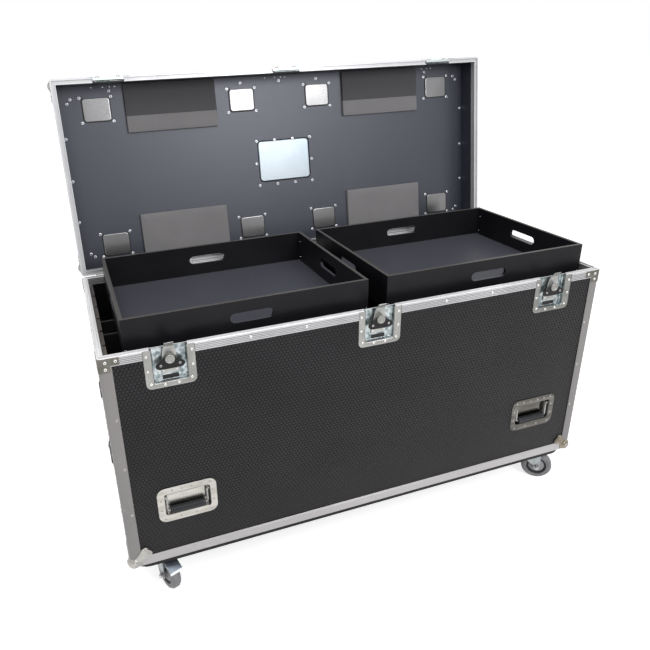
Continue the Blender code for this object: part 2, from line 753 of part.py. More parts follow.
def bail_shape():
    """Bent rod with a thick grip, its pivot line along the X axis."""
    grip_depth = FLANGE_OUT + HANDLE_PAN_DEPTH - FIT_GAP - GRIP_RADIUS - HANDLE_PIVOT_DEPTH
    half_grip = GRIP_LENGTH / 2
    pin = HANDLE_PAN_WIDTH / 2 - FIT_GAP
    leg = HANDLE_LEG_LENGTH
    rod = HANDLE_ROD_RADIUS
    left = [
        (-pin, 0.0, 0.0, rod), (-HANDLE_LEG_SPREAD, 0.0, 0.0, rod),
        (-HANDLE_LEG_SPREAD, grip_depth, -leg, rod), (-half_grip, grip_depth, -leg, rod),
        (-half_grip + FIT_GAP, grip_depth, -leg, GRIP_RADIUS),
    ]
    right = [(-x, y, z, radius) for x, y, z, radius in reversed(left)]
    return bent_rod(left + right, GRIP_STEPS)


def build_handle(place_name, parent, materials, place, turn):
    build_handle_dish("handle_dish_" + place_name, parent, materials["zinc"], place, turn)
    corner = Vector(place)
    depth = Vector((-math.sin(turn[2]), math.cos(turn[2]), 0)) * HANDLE_PIVOT_DEPTH
    hinge = corner + depth + Vector((0, 0, HANDLE_PIVOT_RISE))
    part("bail_" + place_name, bail_shape(), materials["rubber"], parent, tuple(hinge), turn, smooth=True)


def build_handles(parent, materials):
    front_height = BODY_BOTTOM + FRONT_HANDLE_HEIGHT
    side_height = BODY_BOTTOM + SIDE_HANDLE_HEIGHT
    for place_name, x in zip(("front_left", "front_right"), front_handle_places()):
        build_handle(place_name, parent, materials, (x, 0.0, front_height), (0.0, 0.0, 0.0))
    for row, y in zip(("front", "rear"), side_handle_depths()):
        build_handle("left_" + row, parent, materials, (-HALF_WIDTH, y, side_height), (0.0, 0.0, -math.pi / 2))
        build_handle("right_" + row, parent, materials, (HALF_WIDTH, y, side_height), (0.0, 0.0, math.pi / 2))


# Casters: each is built about its swivel axis, trailing along its own X axis

def race_low():
    return CASTER_HEIGHT - FIT_GAP - CASTER_PLATE_THICKNESS - RACE_HEIGHT


def build_caster_plate(name, parent, material, place):
    outline = rounded_rectangle(CASTER_PLATE_LENGTH, CASTER_PLATE_WIDTH, CASTER_PLATE_CORNER, CORNER_STEPS)
    top = CASTER_HEIGHT - FIT_GAP
    low = top - CASTER_PLATE_THICKNESS
    plate = part(name, prism_z(outline, low, top), material, parent, place)
    race = prism_z(circle(RACE_RADIUS, BOSS_STEPS), race_low(), low + CASTER_PLATE_THICKNESS / 2)
    change(plate, "UNION", [race])
    return plate


def fork_leg_outline():
    top = 2 * WHEEL_RADIUS + FORK_TOP_CLEARANCE + FORK_SHEET
    low = WHEEL_RADIUS - FORK_AXLE_PAD
    pad = FORK_AXLE_PAD
    rear = -FORK_HEAD_RADIUS + FORK_SHEET
    return [
        (CASTER_TRAIL - pad / 2, low), (CASTER_TRAIL + pad / 2, low), (CASTER_TRAIL + pad, WHEEL_RADIUS - pad / 2),
        (CASTER_TRAIL + pad, WHEEL_RADIUS + pad / 2), (PEDAL_HINGE_TRAIL + FORK_EAR, PEDAL_HINGE_HEIGHT - FORK_EAR),
        (PEDAL_HINGE_TRAIL + FORK_EAR, PEDAL_HINGE_HEIGHT + FORK_EAR),
        (PEDAL_HINGE_TRAIL - FORK_EAR, PEDAL_HINGE_HEIGHT + FORK_EAR), (FORK_HEAD_RADIUS, top), (rear, top),
        (rear, top - pad), (CASTER_TRAIL - pad, WHEEL_RADIUS - pad / 2),
    ]


def build_fork(name, parent, material):
    inner = WHEEL_WIDTH / 2 + FORK_SIDE_GAP
    outer = inner + FORK_SHEET
    crown_low = 2 * WHEEL_RADIUS + FORK_TOP_CLEARANCE
    crown_top = crown_low + FORK_SHEET
    head_top = race_low() - FIT_GAP
    head = prism_z(circle(FORK_HEAD_RADIUS, BOSS_STEPS), crown_low + FORK_SHEET / 2, head_top)
    fork = part(name, head, material, parent)
    rear = -FORK_HEAD_RADIUS + FORK_SHEET / 2
    crown = box(rear, FORK_HEAD_RADIUS, -outer + FORK_SHEET / 2, outer - FORK_SHEET / 2, crown_low, crown_top - FIT_GAP)
    change(fork, "UNION", [crown])
    legs = [prism_y(fork_leg_outline(), *ends) for ends in ((-outer, -inner), (inner, outer))]
    change(fork, "UNION", legs)
    axle = prism_y(circle(AXLE_RADIUS, WHEEL_STEPS // 2), -AXLE_NUT_REACH + FORK_SHEET, AXLE_NUT_REACH - FORK_SHEET)
    change(fork, "UNION", [moved(axle, CASTER_TRAIL, 0.0, WHEEL_RADIUS)])
    nut = circle(AXLE_NUT_RADIUS, 6)
    nut_start = outer - FORK_SHEET / 2
    nuts = [prism_y(nut, *ends) for ends in ((-AXLE_NUT_REACH, -nut_start), (nut_start, AXLE_NUT_REACH))]
    change(fork, "UNION", [moved(shape, CASTER_TRAIL, 0.0, WHEEL_RADIUS) for shape in nuts])
    return fork


def wheel_shape():
    """Tyre and hub turned about the axle, which is the X axis."""
    half = WHEEL_WIDTH / 2
    bore = AXLE_RADIUS + AXLE_CLEARANCE
    boss = half + FORK_SIDE_GAP - FIT_GAP
    tread = WHEEL_RADIUS - half / 3
    web = half / 2
    side = [
        (bore, boss), (HUB_BOSS_RADIUS, boss), (HUB_BOSS_RADIUS, web), (HUB_RADIUS - web / 2, web),
        (HUB_RADIUS, half), (tread, half), (WHEEL_RADIUS, half * 2 / 3),
    ]
    return turned(side + [(radius, -height) for radius, height in reversed(side)], WHEEL_STEPS)


def pedal_shape():
    """Sloping plate with a bent lip and a hinge barrel, its hinge line along the Y axis."""
    half = WHEEL_WIDTH / 2 + FORK_SIDE_GAP - FIT_GAP
    outline = [
        (-PEDAL_HINGE_RADIUS, -PEDAL_HINGE_RADIUS), (PEDAL_HINGE_RADIUS, -PEDAL_HINGE_RADIUS),
        (PEDAL_LENGTH, -PEDAL_DROP), (PEDAL_LENGTH + PEDAL_THICKNESS, -PEDAL_DROP - PEDAL_THICKNESS / 2),
        (PEDAL_LENGTH + PEDAL_THICKNESS, -PEDAL_DROP + PEDAL_LIP), (PEDAL_LENGTH, -PEDAL_DROP + PEDAL_LIP),
        (PEDAL_LENGTH, -PEDAL_DROP + PEDAL_THICKNESS), (PEDAL_HINGE_RADIUS, PEDAL_HINGE_RADIUS),
        (-PEDAL_HINGE_RADIUS, PEDAL_HINGE_RADIUS),
    ]
    return prism_y(outline, -half, half)


def build_casters(parent, materials):
    ends = HALF_WIDTH - CASTER_END_DISTANCE
    near = CASTER_SIDE_DISTANCE
    far = CASE_DEPTH - CASTER_SIDE_DISTANCE
    spots = (
        ("left_front", -ends, near), ("left_rear", -ends, far),
        ("right_front", ends, near), ("right_rear", ends, far),
    )
    wheel = as_mesh("wheel", wheel_shape())
    wheel.shade_smooth()
    wheel.set_sharp_from_angle(angle=SHARP_ANGLE)
    for (spot, x, y), turn in zip(spots, FORK_TURNS):
        build_caster_plate("caster_plate_" + spot, parent, materials["zinc"], (x, y, 0.0))
        swivel = pivot("swivel_" + spot, parent, (x, y, 0.0), (0.0, 0.0, turn))
        build_fork("fork_" + spot, swivel, materials["zinc"])
        put("wheel_" + spot, wheel, materials["tyre"], swivel, (CASTER_TRAIL, 0.0, WHEEL_RADIUS),
            (0.0, 0.0, math.pi / 2))
        if spot.startswith("left"):
            place = (PEDAL_HINGE_TRAIL, 0.0, PEDAL_HINGE_HEIGHT)
            part("pedal_" + spot, pedal_shape(), materials["zinc"], swivel, place)


# Hinge along the back edge

def knuckle_profile(side):
    """Knuckle with a short stem, in (depth, height) about the pin, the leaf below it for side -1."""
    low = -LEAF_HEIGHT / 2
    inner = -PIN_OUT + FIT_GAP + SHEET_THICKNESS / 4
    outer = -PIN_OUT + FIT_GAP + SHEET_THICKNESS * 3 / 4
    start = math.acos(outer / KNUCKLE_RADIUS)
    profile = [(inner, low), (outer, low)]
    for step in range(KNUCKLE_STEPS + 1):
        angle = -start + step / KNUCKLE_STEPS * (math.pi + start)
        profile.append((KNUCKLE_RADIUS * math.cos(angle), KNUCKLE_RADIUS * math.sin(angle)))
    profile.append((inner, -KNUCKLE_RADIUS / 3))
    return [(depth, -side * height) for depth, height in profile]


def build_leaf(name, side, parent, material, place, first):
    """Hinge leaf below the pin for side -1 and above it for side 1, with every second knuckle."""
    half = HALF_WIDTH - LEAF_END_DISTANCE
    near = side * (KNUCKLE_RADIUS + LEAF_KNUCKLE_GAP)
    ends = sorted((near, side * LEAF_HEIGHT))
    inner = -PIN_OUT + FIT_GAP
    leaf = part(name, box(-half, half, inner, inner + SHEET_THICKNESS, *ends), material, parent, place)
    length = 2 * half / KNUCKLES
    knuckles = []
    for number in range(first, KNUCKLES, 2):
        start = -half + number * length + KNUCKLE_GAP / 2
        knuckles.append(prism_x(knuckle_profile(side), start, start + length - KNUCKLE_GAP))
    change(leaf, "UNION", knuckles)
    return leaf


# Lid, in closed position about the hinge pin: depth runs forwards as minus Y

def lid_middle():
    return -PIN_OUT - MIDDLE_DEPTH


def lid_frame_profile():
    inner = BOARD_IN + FIT_GAP
    inner_far = inner + INNER_RAIL_THICKNESS
    groove = TONGUE_HEIGHT + RIM_GAP + GROOVE_CLEARANCE / 2
    web = groove + SKIN_THICKNESS
    top_low = LID_HEIGHT - SKIN_THICKNESS
    return [
        (0.0, RIM_GAP), (TONGUE_INSET - GROOVE_CLEARANCE, RIM_GAP), (TONGUE_INSET - GROOVE_CLEARANCE, groove),
        (inner, groove), (inner, RIM_GAP), (inner_far, RIM_GAP), (inner_far, INNER_RAIL_HEIGHT),
        (inner, INNER_RAIL_HEIGHT), (inner, web), (SKIN_THICKNESS, web), (SKIN_THICKNESS, top_low),
        (BOTTOM_RAIL_HEIGHT, top_low), (BOTTOM_RAIL_HEIGHT, LID_HEIGHT), (SKIN_THICKNESS, LID_HEIGHT),
        (0.0, top_low),
    ]


def build_lid_frame(parent, material):
    ring = edge_ring(lid_frame_profile(), CASE_WIDTH, CASE_DEPTH, FRAME_CORNER_RADIUS)
    frame = part("lid_frame", moved(ring, 0.0, lid_middle()), material, parent)
    low = TOP_RAIL_HEIGHT
    high = LID_HEIGHT - BOTTOM_RAIL_HEIGHT
    reach = HALF_WIDTH - POST_WIDTH
    front = -PIN_OUT - CASE_DEPTH
    change(frame, "DIFFERENCE", [box(-reach, reach, front - PAST, PAST, low, high)])
    windows_x = box(-HALF_WIDTH - PAST, HALF_WIDTH + PAST, front + POST_WIDTH, -PIN_OUT - POST_WIDTH, low, high)
    change(frame, "DIFFERENCE", [windows_x])
    notches = []
    openings = []
    for x in latch_places():
        flange = LATCH_DISH_WIDTH / 2 + NOTCH_SIDE_CLEARANCE
        pan = LATCH_PAN_WIDTH / 2 + SHEET_THICKNESS + NOTCH_SIDE_CLEARANCE
        notches.append(box(x - flange, x + flange, front - PAST, front + BOARD_OUT, -PAST, low + PAST))
        openings.append(box(x - pan, x + pan, front - PAST, front + BOARD_IN, -PAST * 2, low + PAST / 2))
    change(frame, "DIFFERENCE", notches)
    change(frame, "DIFFERENCE", openings)
    return frame


def build_lid_walls(parent, material):
    groove = TONGUE_HEIGHT + RIM_GAP + GROOVE_CLEARANCE / 2
    low = groove + BOARD_OUT
    high = PANEL_INNER_W - FIT_GAP
    profile = [(BOARD_OUT, low), (BOARD_IN, low), (BOARD_IN, high), (BOARD_OUT, high)]
    ring = edge_ring(profile, CASE_WIDTH, CASE_DEPTH, FRAME_CORNER_RADIUS)
    walls = part("lid_walls", moved(ring, 0.0, lid_middle()), material, parent)
    front = -PIN_OUT - CASE_DEPTH
    half = LATCH_PAN_WIDTH / 2 + SHEET_THICKNESS + FIT_GAP
    top = KEEPER_DISH_HEIGHT - LATCH_PAN_FOOT + SHEET_THICKNESS + FIT_GAP
    cuts = [box(x - half, x + half, front - PAST, front + BOARD_IN + PAST, -PAST, top) for x in latch_places()]
    change(walls, "DIFFERENCE", cuts)
    return walls


def cup_places():
    outer = HALF_WIDTH - CUP_END_DISTANCE
    for x in (-outer, -CUP_MIDDLE_DISTANCE, CUP_MIDDLE_DISTANCE, outer):
        for inset in (CUP_EDGE_DISTANCE, CASE_DEPTH - CUP_EDGE_DISTANCE):
            yield x, -PIN_OUT - inset


def build_lid_panel(parent, material):
    """Top board with eight pressed stacking cups and a hole for the label dish."""
    outline = rounded_rectangle(
        CASE_WIDTH - 2 * BOARD_OUT, CASE_DEPTH - 2 * BOARD_OUT, FRAME_CORNER_RADIUS - BOARD_OUT, CORNER_STEPS
    )
    top = LID_HEIGHT - BOARD_OUT
    plate = moved(prism_z(outline, PANEL_INNER_W, top), 0.0, lid_middle())
    panel = part("lid_panel", plate, material, parent)
    half = CUP_SIZE / 2
    inner = half - CUP_WALL
    middle = (PANEL_INNER_W + top) / 2
    backs = [box(x - half, x + half, y - half, y + half, PANEL_INNER_W - CUP_RISE, middle) for x, y in cup_places()]
    cups = [
        box(x - inner, x + inner, y - inner, y + inner, top - CUP_RECESS_DEPTH, top + PAST) for x, y in cup_places()
    ]
    hole = rounded_rectangle(
        LABEL_DISH_WIDTH + 2 * LABEL_HOLE_CLEARANCE, LABEL_DISH_HEIGHT + 2 * LABEL_HOLE_CLEARANCE,
        LABEL_CORNER_RADIUS + LABEL_HOLE_CLEARANCE, CORNER_STEPS,
    )
    cups.append(moved(prism_z(hole, PANEL_INNER_W - PAST, top + PAST), 0.0, lid_middle()))
    change(panel, "UNION", backs)
    change(panel, "DIFFERENCE", cups)
    return panel


def build_label_dish(parent, material):
    """Shallow dish set in from outside, its bare back level with the inside of the lid."""
    top = LID_HEIGHT - BOARD_OUT + FIT_GAP
    flange_width = LABEL_DISH_WIDTH + 2 * LABEL_FLANGE
    flange_height = LABEL_DISH_HEIGHT + 2 * LABEL_FLANGE
    sheet = 2 * SHEET_THICKNESS
    rows = (
        (LABEL_DISH_WIDTH - sheet, LABEL_DISH_HEIGHT - sheet, PANEL_INNER_W + sheet / 2),
        (LABEL_DISH_WIDTH - sheet, LABEL_DISH_HEIGHT - sheet, top + sheet / 2),
        (flange_width, flange_height, top + sheet / 2),
        (flange_width, flange_height, top),
        (LABEL_DISH_WIDTH, LABEL_DISH_HEIGHT, top),
        (LABEL_DISH_WIDTH, LABEL_DISH_HEIGHT, PANEL_INNER_W),
    )
    loops = []
    for width, height, level in rows:
        outline = rounded_rectangle(width, height, LABEL_CORNER_RADIUS, CORNER_STEPS)
        loops.append([(a, b + lid_middle(), level) for a, b in outline])
    return part("label_dish", loft(loops), material, parent)


def build_keeper(name, x, parent, material):
    """Upturned latch dish on the lid that the hook reaches into."""
    flange, pan, hollow = dish_shape(KEEPER_DISH_HEIGHT)
    front = -PIN_OUT - CASE_DEPTH

    def upturned(shape):
        points, faces = shape
        return [(a, b, -c) for a, b, c in points], faces

    keeper = part(name, upturned(flange), material, parent, (x, front, 0.0))
    change(keeper, "UNION", [upturned(pan)])
    change(keeper, "DIFFERENCE", [upturned(hollow)])
    return keeper


def build_pads(parent, material):
    half_l = PAD_LENGTH / 2
    half_w = PAD_WIDTH / 2
    top = PANEL_INNER_W - FIT_GAP
    rows = (("lower", PAD_EDGE_DISTANCE + half_w), ("upper", CASE_DEPTH - PAD_EDGE_DISTANCE - half_w))
    for row, inset in rows:
        for side, share in zip(("left", "right"), PAD_CENTRE_SHARES):
            x = share * CASE_WIDTH
            shape = box(-half_l, half_l, -half_w, half_w, -PAD_THICKNESS, 0.0)
            part("foam_pad_" + row + "_" + side, shape, material, parent, (x, -PIN_OUT - inset, top))


# Assembly

def build_body(root, materials):
    build_front_panel(root, materials["laminate"])
    build_back_panel(root, materials["laminate"])
    build_side_panel("left_panel", -1, root, materials["laminate"])
    build_side_panel("right_panel", 1, root, materials["laminate"])
    build_base_board(root, materials["board"])
    add_ball_corners(build_body_frame(root, materials["aluminium"]))
    build_liner("liner_left", -1, root, materials["board"])
    build_liner("liner_right", 1, root, materials["board"])
    for name, slot in (("divider_front", 1), ("divider_rear", 2)):
        build_divider(name, slot_depths()[slot], root, materials["board"])
    for name, x in zip(("tray_left", "tray_right"), tray_places()):
        build_tray(name, x, root, materials["board"])
    for side, x in zip(("left", "middle", "right"), latch_places()):
        build_latch_dish("latch_dish_" + side, x, root, materials["zinc"])
        build_hook("hook_" + side, x, root, materials["zinc"])
        build_wing("wing_" + side, x, root, materials["plastic"])


def build_lid(lid, materials):
    build_lid_panel(lid, materials["laminate"])
    build_lid_walls(lid, materials["laminate"])
    build_lid_frame(lid, materials["aluminium"])
    build_label_dish(lid, materials["zinc"])
    for side, x in zip(("left", "middle", "right"), latch_places()):
        build_keeper("keeper_" + side, x, lid, materials["zinc"])
    build_pads(lid, materials["foam"])
    build_leaf("hinge_leaf_lid", 1, lid, materials["aluminium"], (0.0, 0.0, 0.0), 1)


def settle(root):
    """Moves the whole case so that the middle of its box stands over the origin."""
    bpy.context.view_layer.update()
    graph = bpy.context.evaluated_depsgraph_get()
    corners = []
    for thing in bpy.context.scene.collection.objects:
        if thing.type == "MESH" and not thing.hide_render:
            solid = thing.evaluated_get(graph)
            corners += [solid.matrix_world @ vertex.co for vertex in solid.data.vertices]
    depths = [corner.y for corner in corners]
    root.location.y = -(min(depths) + max(depths)) / 2


def build_case():
    for thing in list(bpy.data.objects):
        bpy.data.objects.remove(thing)
    materials = {
        "laminate": black_laminate(), "board": black_board(), "aluminium": satin_aluminium(),
        "zinc": zinc_plate(), "plastic": black_plastic(), "rubber": black_rubber(),
        "tyre": grey_tyre(), "foam": grey_foam(),
    }
    root = pivot("case_root", None, (0.0, 0.0, 0.0))
    build_body(root, materials)
    build_handles(root, materials)
    build_casters(root, materials)
    pin = (0.0, CASE_DEPTH + PIN_OUT, BODY_TOP)
    build_leaf("hinge_leaf_body", -1, root, materials["aluminium"], pin, 0)
    lid = pivot("lid_pivot", root, pin, (-LID_OPEN_ANGLE, 0.0, 0.0))
    build_lid(lid, materials)
    settle(root)


build_case()
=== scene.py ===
import math

import bmesh
import bpy
from mathutils import Matrix, Vector


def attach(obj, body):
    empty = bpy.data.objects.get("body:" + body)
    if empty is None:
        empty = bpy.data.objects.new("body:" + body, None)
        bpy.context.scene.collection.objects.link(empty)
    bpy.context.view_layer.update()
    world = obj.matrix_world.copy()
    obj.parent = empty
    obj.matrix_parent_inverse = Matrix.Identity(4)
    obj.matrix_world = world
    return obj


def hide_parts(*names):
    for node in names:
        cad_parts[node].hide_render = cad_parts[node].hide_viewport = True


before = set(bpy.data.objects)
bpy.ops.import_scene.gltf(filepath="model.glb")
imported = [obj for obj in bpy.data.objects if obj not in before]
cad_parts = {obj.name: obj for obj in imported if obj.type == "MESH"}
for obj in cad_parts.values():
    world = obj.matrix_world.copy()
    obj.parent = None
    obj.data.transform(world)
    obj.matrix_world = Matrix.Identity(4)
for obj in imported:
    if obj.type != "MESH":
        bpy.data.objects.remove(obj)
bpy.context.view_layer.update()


# Camera. It stands in front of the left end of the case at eye height and looks down over the trays
# into the open lid, slightly rolled, with its frame shifted as in the photograph.
EYE = Vector((-0.7629, -1.7615, 1.4986))
HEADING, TILT, ROLL = 0.314, 0.4037, -0.0404


def new_object(name, data):
    """Object linked into the scene."""
    thing = bpy.data.objects.new(name, data)
    bpy.context.scene.collection.objects.link(thing)
    return thing


forward = Vector((math.sin(HEADING) * math.cos(TILT), math.cos(HEADING) * math.cos(TILT), -math.sin(TILT)))
level = forward.cross(Vector((0, 0, 1))).normalized()
plumb = level.cross(forward)
across = level * math.cos(ROLL) + plumb * math.sin(ROLL)
upward = plumb * math.cos(ROLL) - level * math.sin(ROLL)
camera = new_object("camera", bpy.data.cameras.new("camera"))
camera.data.sensor_width = 36
camera.data.lens = 33.83
camera.data.shift_x = 0.0852
camera.data.shift_y = -0.0328
camera.matrix_world = Matrix.Translation(EYE) @ Matrix((across, upward, -forward)).transposed().to_4x4()
bpy.context.scene.camera = camera
bpy.context.scene.view_settings.view_transform = "Standard"


# Studio. A pale seamless floor under a white surround, with one soft lamp in front of the case and a little
# to the right, a broader one above it, and a weak one at the left that lights the end panel.
FLOOR_REACH = 30
FLOOR_GLOW = 0.68
SURROUND_LIGHT = 0.5


def add_node(tree, kind, inputs=None, **settings):
    """New node with its settings made and its inputs linked or set."""
    node = tree.nodes.new(kind)
    for name, value in settings.items():
        setattr(node, name, value)
    for name, value in (inputs or {}).items():
        if isinstance(value, bpy.types.NodeSocket):
            tree.links.new(value, node.inputs[name])
        else:
            node.inputs[name].default_value = value
    return node


def sums(tree, operation, *values):
    """Result of one sum on sockets or numbers."""
    return add_node(tree, "ShaderNodeMath", dict(enumerate(values)), operation=operation).outputs[0]


def seen(tree):
    """One for what the camera sees straight, in metal or through glass, and nought for other light."""
    rays = add_node(tree, "ShaderNodeLightPath").outputs
    straight = sums(tree, "MAXIMUM", rays["Is Camera Ray"], rays["Is Glossy Ray"])
    return sums(tree, "MAXIMUM", straight, rays["Is Transmission Ray"])


def new_material(name, roughness, metallic=0.0, gloss=0.5):
    """Material with its node tree and shader."""
    material = bpy.data.materials.new(name)
    material.use_nodes = True
    shader = material.node_tree.nodes["Principled BSDF"]
    shader.inputs["Roughness"].default_value = roughness
    shader.inputs["Metallic"].default_value = metallic
    shader.inputs["Specular IOR Level"].default_value = gloss
    return material, material.node_tree, shader


def feed(shader, inputs):
    """Links sockets to the shader's inputs."""
    for name, socket in inputs.items():
        shader.id_data.links.new(socket, shader.inputs[name])


bm = bmesh.new()
bmesh.ops.create_grid(bm, x_segments=2, y_segments=2, size=FLOOR_REACH)
floor_mesh = bpy.data.meshes.new("studio_floor")
bm.to_mesh(floor_mesh)
bm.free()
floor_paint, tree, shader = new_material("floor_paint", 0.7)
shader.inputs["Base Color"].default_value = (0.8, 0.8, 0.8, 1)
shader.inputs["Emission Color"].default_value = (1, 1, 1, 1)
feed(shader, {"Emission Strength": sums(tree, "MULTIPLY", seen(tree), FLOOR_GLOW)})
floor_mesh.materials.append(floor_paint)
new_object("studio_floor", floor_mesh)

surround = bpy.data.worlds.new("surround")
bpy.context.scene.world = surround
surround.use_nodes = True
tree = surround.node_tree
backdrop = tree.nodes["Background"]
backdrop.inputs["Color"].default_value = (1, 1, 1, 1)
feed(backdrop, {"Strength": sums(tree, "MULTIPLY_ADD", seen(tree), 1 - SURROUND_LIGHT, SURROUND_LIGHT)})


def soft_lamp(name, power, spread, place, aim):
    """Square area lamp turned towards a point."""
    lamp = new_object(name, bpy.data.lights.new(name, "AREA"))
    lamp.data.energy = power
    lamp.data.size = spread
    lamp.location = place
    lamp.rotation_euler = (Vector(aim) - Vector(place)).to_track_quat("-Z", "Y").to_euler()


soft_lamp("key_lamp", 50, 1.3, (0.72, -2.5, 2.35), (0.0, 0.35, 1.2))
soft_lamp("top_lamp", 46, 2.2, (-0.7, -0.9, 3.6), (0, 0, 0.8))
soft_lamp("left_lamp", 10, 1.2, (-3.0, 0.2, 1.8), (-0.7, 0, 0.7))


# Body boards. Four boards faced with a black laminate that is embossed all over with small hexagons.
# They stand inside the aluminium edges, and the latch and handle dishes are let into them.
FRONT = -0.398145
BACK = 0.211455
SIDE = 0.762
BOTTOM = 0.1483
TOP = 0.8151
MIDDLE = (FRONT + BACK) / 2
WIDTH = 2 * SIDE
DEPTH = BACK - FRONT
CELL = 0.0103
CELL_LINE = 0.165
HALF_CELL = (0.5, 0.8660254, 0)
FACE_TURNS = {"front": (-math.pi / 2, 0.0, 0.0), "side": (-math.pi / 2, -math.pi / 2, 0.0)}
PANELS = {"front": ("front_panel", "back_panel"), "side": ("left_panel", "right_panel")}


def shader_group(name, takes, gives):
    """Empty node group, its inputs given with their defaults, with its input and output sockets."""
    tree = bpy.data.node_groups.new(name, "ShaderNodeTree")
    for label, value in takes.items():
        kind = "NodeSocketVector" if isinstance(value, tuple) else "NodeSocketFloat"
        tree.interface.new_socket(label, in_out="INPUT", socket_type=kind).default_value = value
    for label in gives:
        tree.interface.new_socket(label, in_out="OUTPUT", socket_type="NodeSocketFloat")
    return tree, tree.nodes.new("NodeGroupInput").outputs, tree.nodes.new("NodeGroupOutput").inputs


def vector_sums(tree, operation, *values, result=0):
    """Result of one vector sum."""
    return add_node(tree, "ShaderNodeVectorMath", dict(enumerate(values)), operation=operation).outputs[result]


def smooth_range(tree, value, low, high):
    """Value eased from nought at one end of a range to one at the other."""
    span = {"Value": value, "From Min": low, "From Max": high}
    return add_node(tree, "ShaderNodeMapRange", span, interpolation_type="SMOOTHSTEP").outputs["Result"]


def noise(tree, place, scale, detail):
    """Soft noise at a scale."""
    return add_node(tree, "ShaderNodeTexNoise", {"Vector": place, "Scale": scale, "Detail": detail}).outputs[0]


honeycomb, takes, gives = shader_group("honeycomb", {"Vector": (0.0, 0.0, 0.0), "Line": 0.06}, ["Line"])
flat = vector_sums(honeycomb, "MULTIPLY", takes["Vector"], (1, 1, 0))
cells = [vector_sums(honeycomb, "WRAP", place, HALF_CELL, tuple(-part for part in HALF_CELL))
         for place in (flat, vector_sums(honeycomb, "SUBTRACT", flat, HALF_CELL))]
even_far, odd_far = (vector_sums(honeycomb, "LENGTH", place, result=1) for place in cells)
nearer = {0: sums(honeycomb, "LESS_THAN", odd_far, even_far), 4: cells[0], 5: cells[1]}
picked = add_node(honeycomb, "ShaderNodeMix", nearer, data_type="VECTOR").outputs[1]
folded = vector_sums(honeycomb, "ABSOLUTE", picked)
to_edge = vector_sums(honeycomb, "DOT_PRODUCT", folded, HALF_CELL, result=1)
apart = add_node(honeycomb, "ShaderNodeSeparateXYZ", {0: folded})
edge = sums(honeycomb, "MAXIMUM", apart.outputs[0], to_edge)
start = sums(honeycomb, "SUBTRACT", 0.5, takes["Line"])
honeycomb.links.new(smooth_range(honeycomb, edge, start, 0.5), gives["Line"])

mottle, takes, gives = shader_group(
    "mottle", {"Vector": (0.0, 0.0, 0.0), "Broad": 6.0, "Fine": 400.0}, ["Broad", "Fine", "Scratch"]
)
clouds = noise(mottle, takes["Vector"], takes["Broad"], 4.0)
mottle.links.new(smooth_range(mottle, clouds, 0.32, 0.68), gives["Broad"])
mottle.links.new(noise(mottle, takes["Vector"], takes["Fine"], 2.0), gives["Fine"])
streaked = vector_sums(mottle, "MULTIPLY", takes["Vector"], (1.0, 0.06, 1.0))
streaks = noise(mottle, streaked, sums(mottle, "MULTIPLY", takes["Broad"], 16.0), 5.0)
mottle.links.new(smooth_range(mottle, streaks, 0.62, 0.72), gives["Scratch"])


def use_group(tree, group, inputs):
    """One use of a node group."""
    return add_node(tree, "ShaderNodeGroup", inputs, node_tree=group).outputs


def surface_place(tree, turn=(0.0, 0.0, 0.0), scale=(1.0, 1.0, 1.0)):
    """Object coordinates turned and scaled."""
    place = add_node(tree, "ShaderNodeTexCoord").outputs["Object"]
    return add_node(tree, "ShaderNodeMapping", {"Vector": place, "Rotation": turn, "Scale": scale}).outputs[0]


def marks_on(tree, place, broad, fine):
    """Broad clouds, fine grain and scratches of a surface."""
    return use_group(tree, mottle, {"Vector": place, "Broad": broad, "Fine": fine})


def mixed(tree, share, *pair):
    """Colour between two colours or sockets."""
    one, two = (paint if isinstance(paint, bpy.types.NodeSocket) else (*paint, 1) for paint in pair)
    return add_node(tree, "ShaderNodeMix", {0: share, 6: one, 7: two}, data_type="RGBA").outputs[2]


def bump(shader, height, distance):
    """Bump from a height socket into the shader's normal."""
    node = add_node(shader.id_data, "ShaderNodeBump", {"Height": height, "Distance": distance})
    feed(shader, {"Normal": node.outputs[0]})


def laminate_sockets(tree, turn):
    """Colour, metallic share, roughness and height of the embossed laminate on a face that is turned flat."""
    cells = {"Vector": surface_place(tree, turn, (1 / CELL,) * 3), "Line": CELL_LINE}
    line = use_group(tree, honeycomb, cells)["Line"]
    marks = marks_on(tree, surface_place(tree, turn), 5.0, 900.0)
    colour = mixed(tree, marks["Broad"], (0.0138, 0.0134, 0.0152), (0.0192, 0.0187, 0.0208))
    # The hexagon lines are painted darker than the cells, as painted shade in the embossed grooves.
    colour = mixed(tree, line, colour, (0.0035, 0.0035, 0.0035))
    rough = sums(tree, "MULTIPLY_ADD", line, 0.35, 0.2)
    rough = sums(tree, "MULTIPLY_ADD", marks["Broad"], 0.06, rough)
    height = sums(tree, "MULTIPLY_ADD", marks["Fine"], 0.08, sums(tree, "SUBTRACT", 1.0, line))
    return colour, sums(tree, "MULTIPLY", line, 0.8), rough, height


def dress(node, material):
    """Puts a material on a kept CAD node."""
    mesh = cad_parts[node].data
    mesh.materials.clear()
    mesh.materials.append(material)


for turn, boards in PANELS.items():
    laminate, tree, shader = new_material(turn + "_laminate", 0.25, gloss=0.2)
    colour, metal, rough, height = laminate_sockets(tree, FACE_TURNS[turn])
    feed(shader, {"Base Color": colour, "Metallic": metal, "Roughness": rough})
    bump(shader, height, 0.0006)
    for board in boards:
        dress(board, laminate)


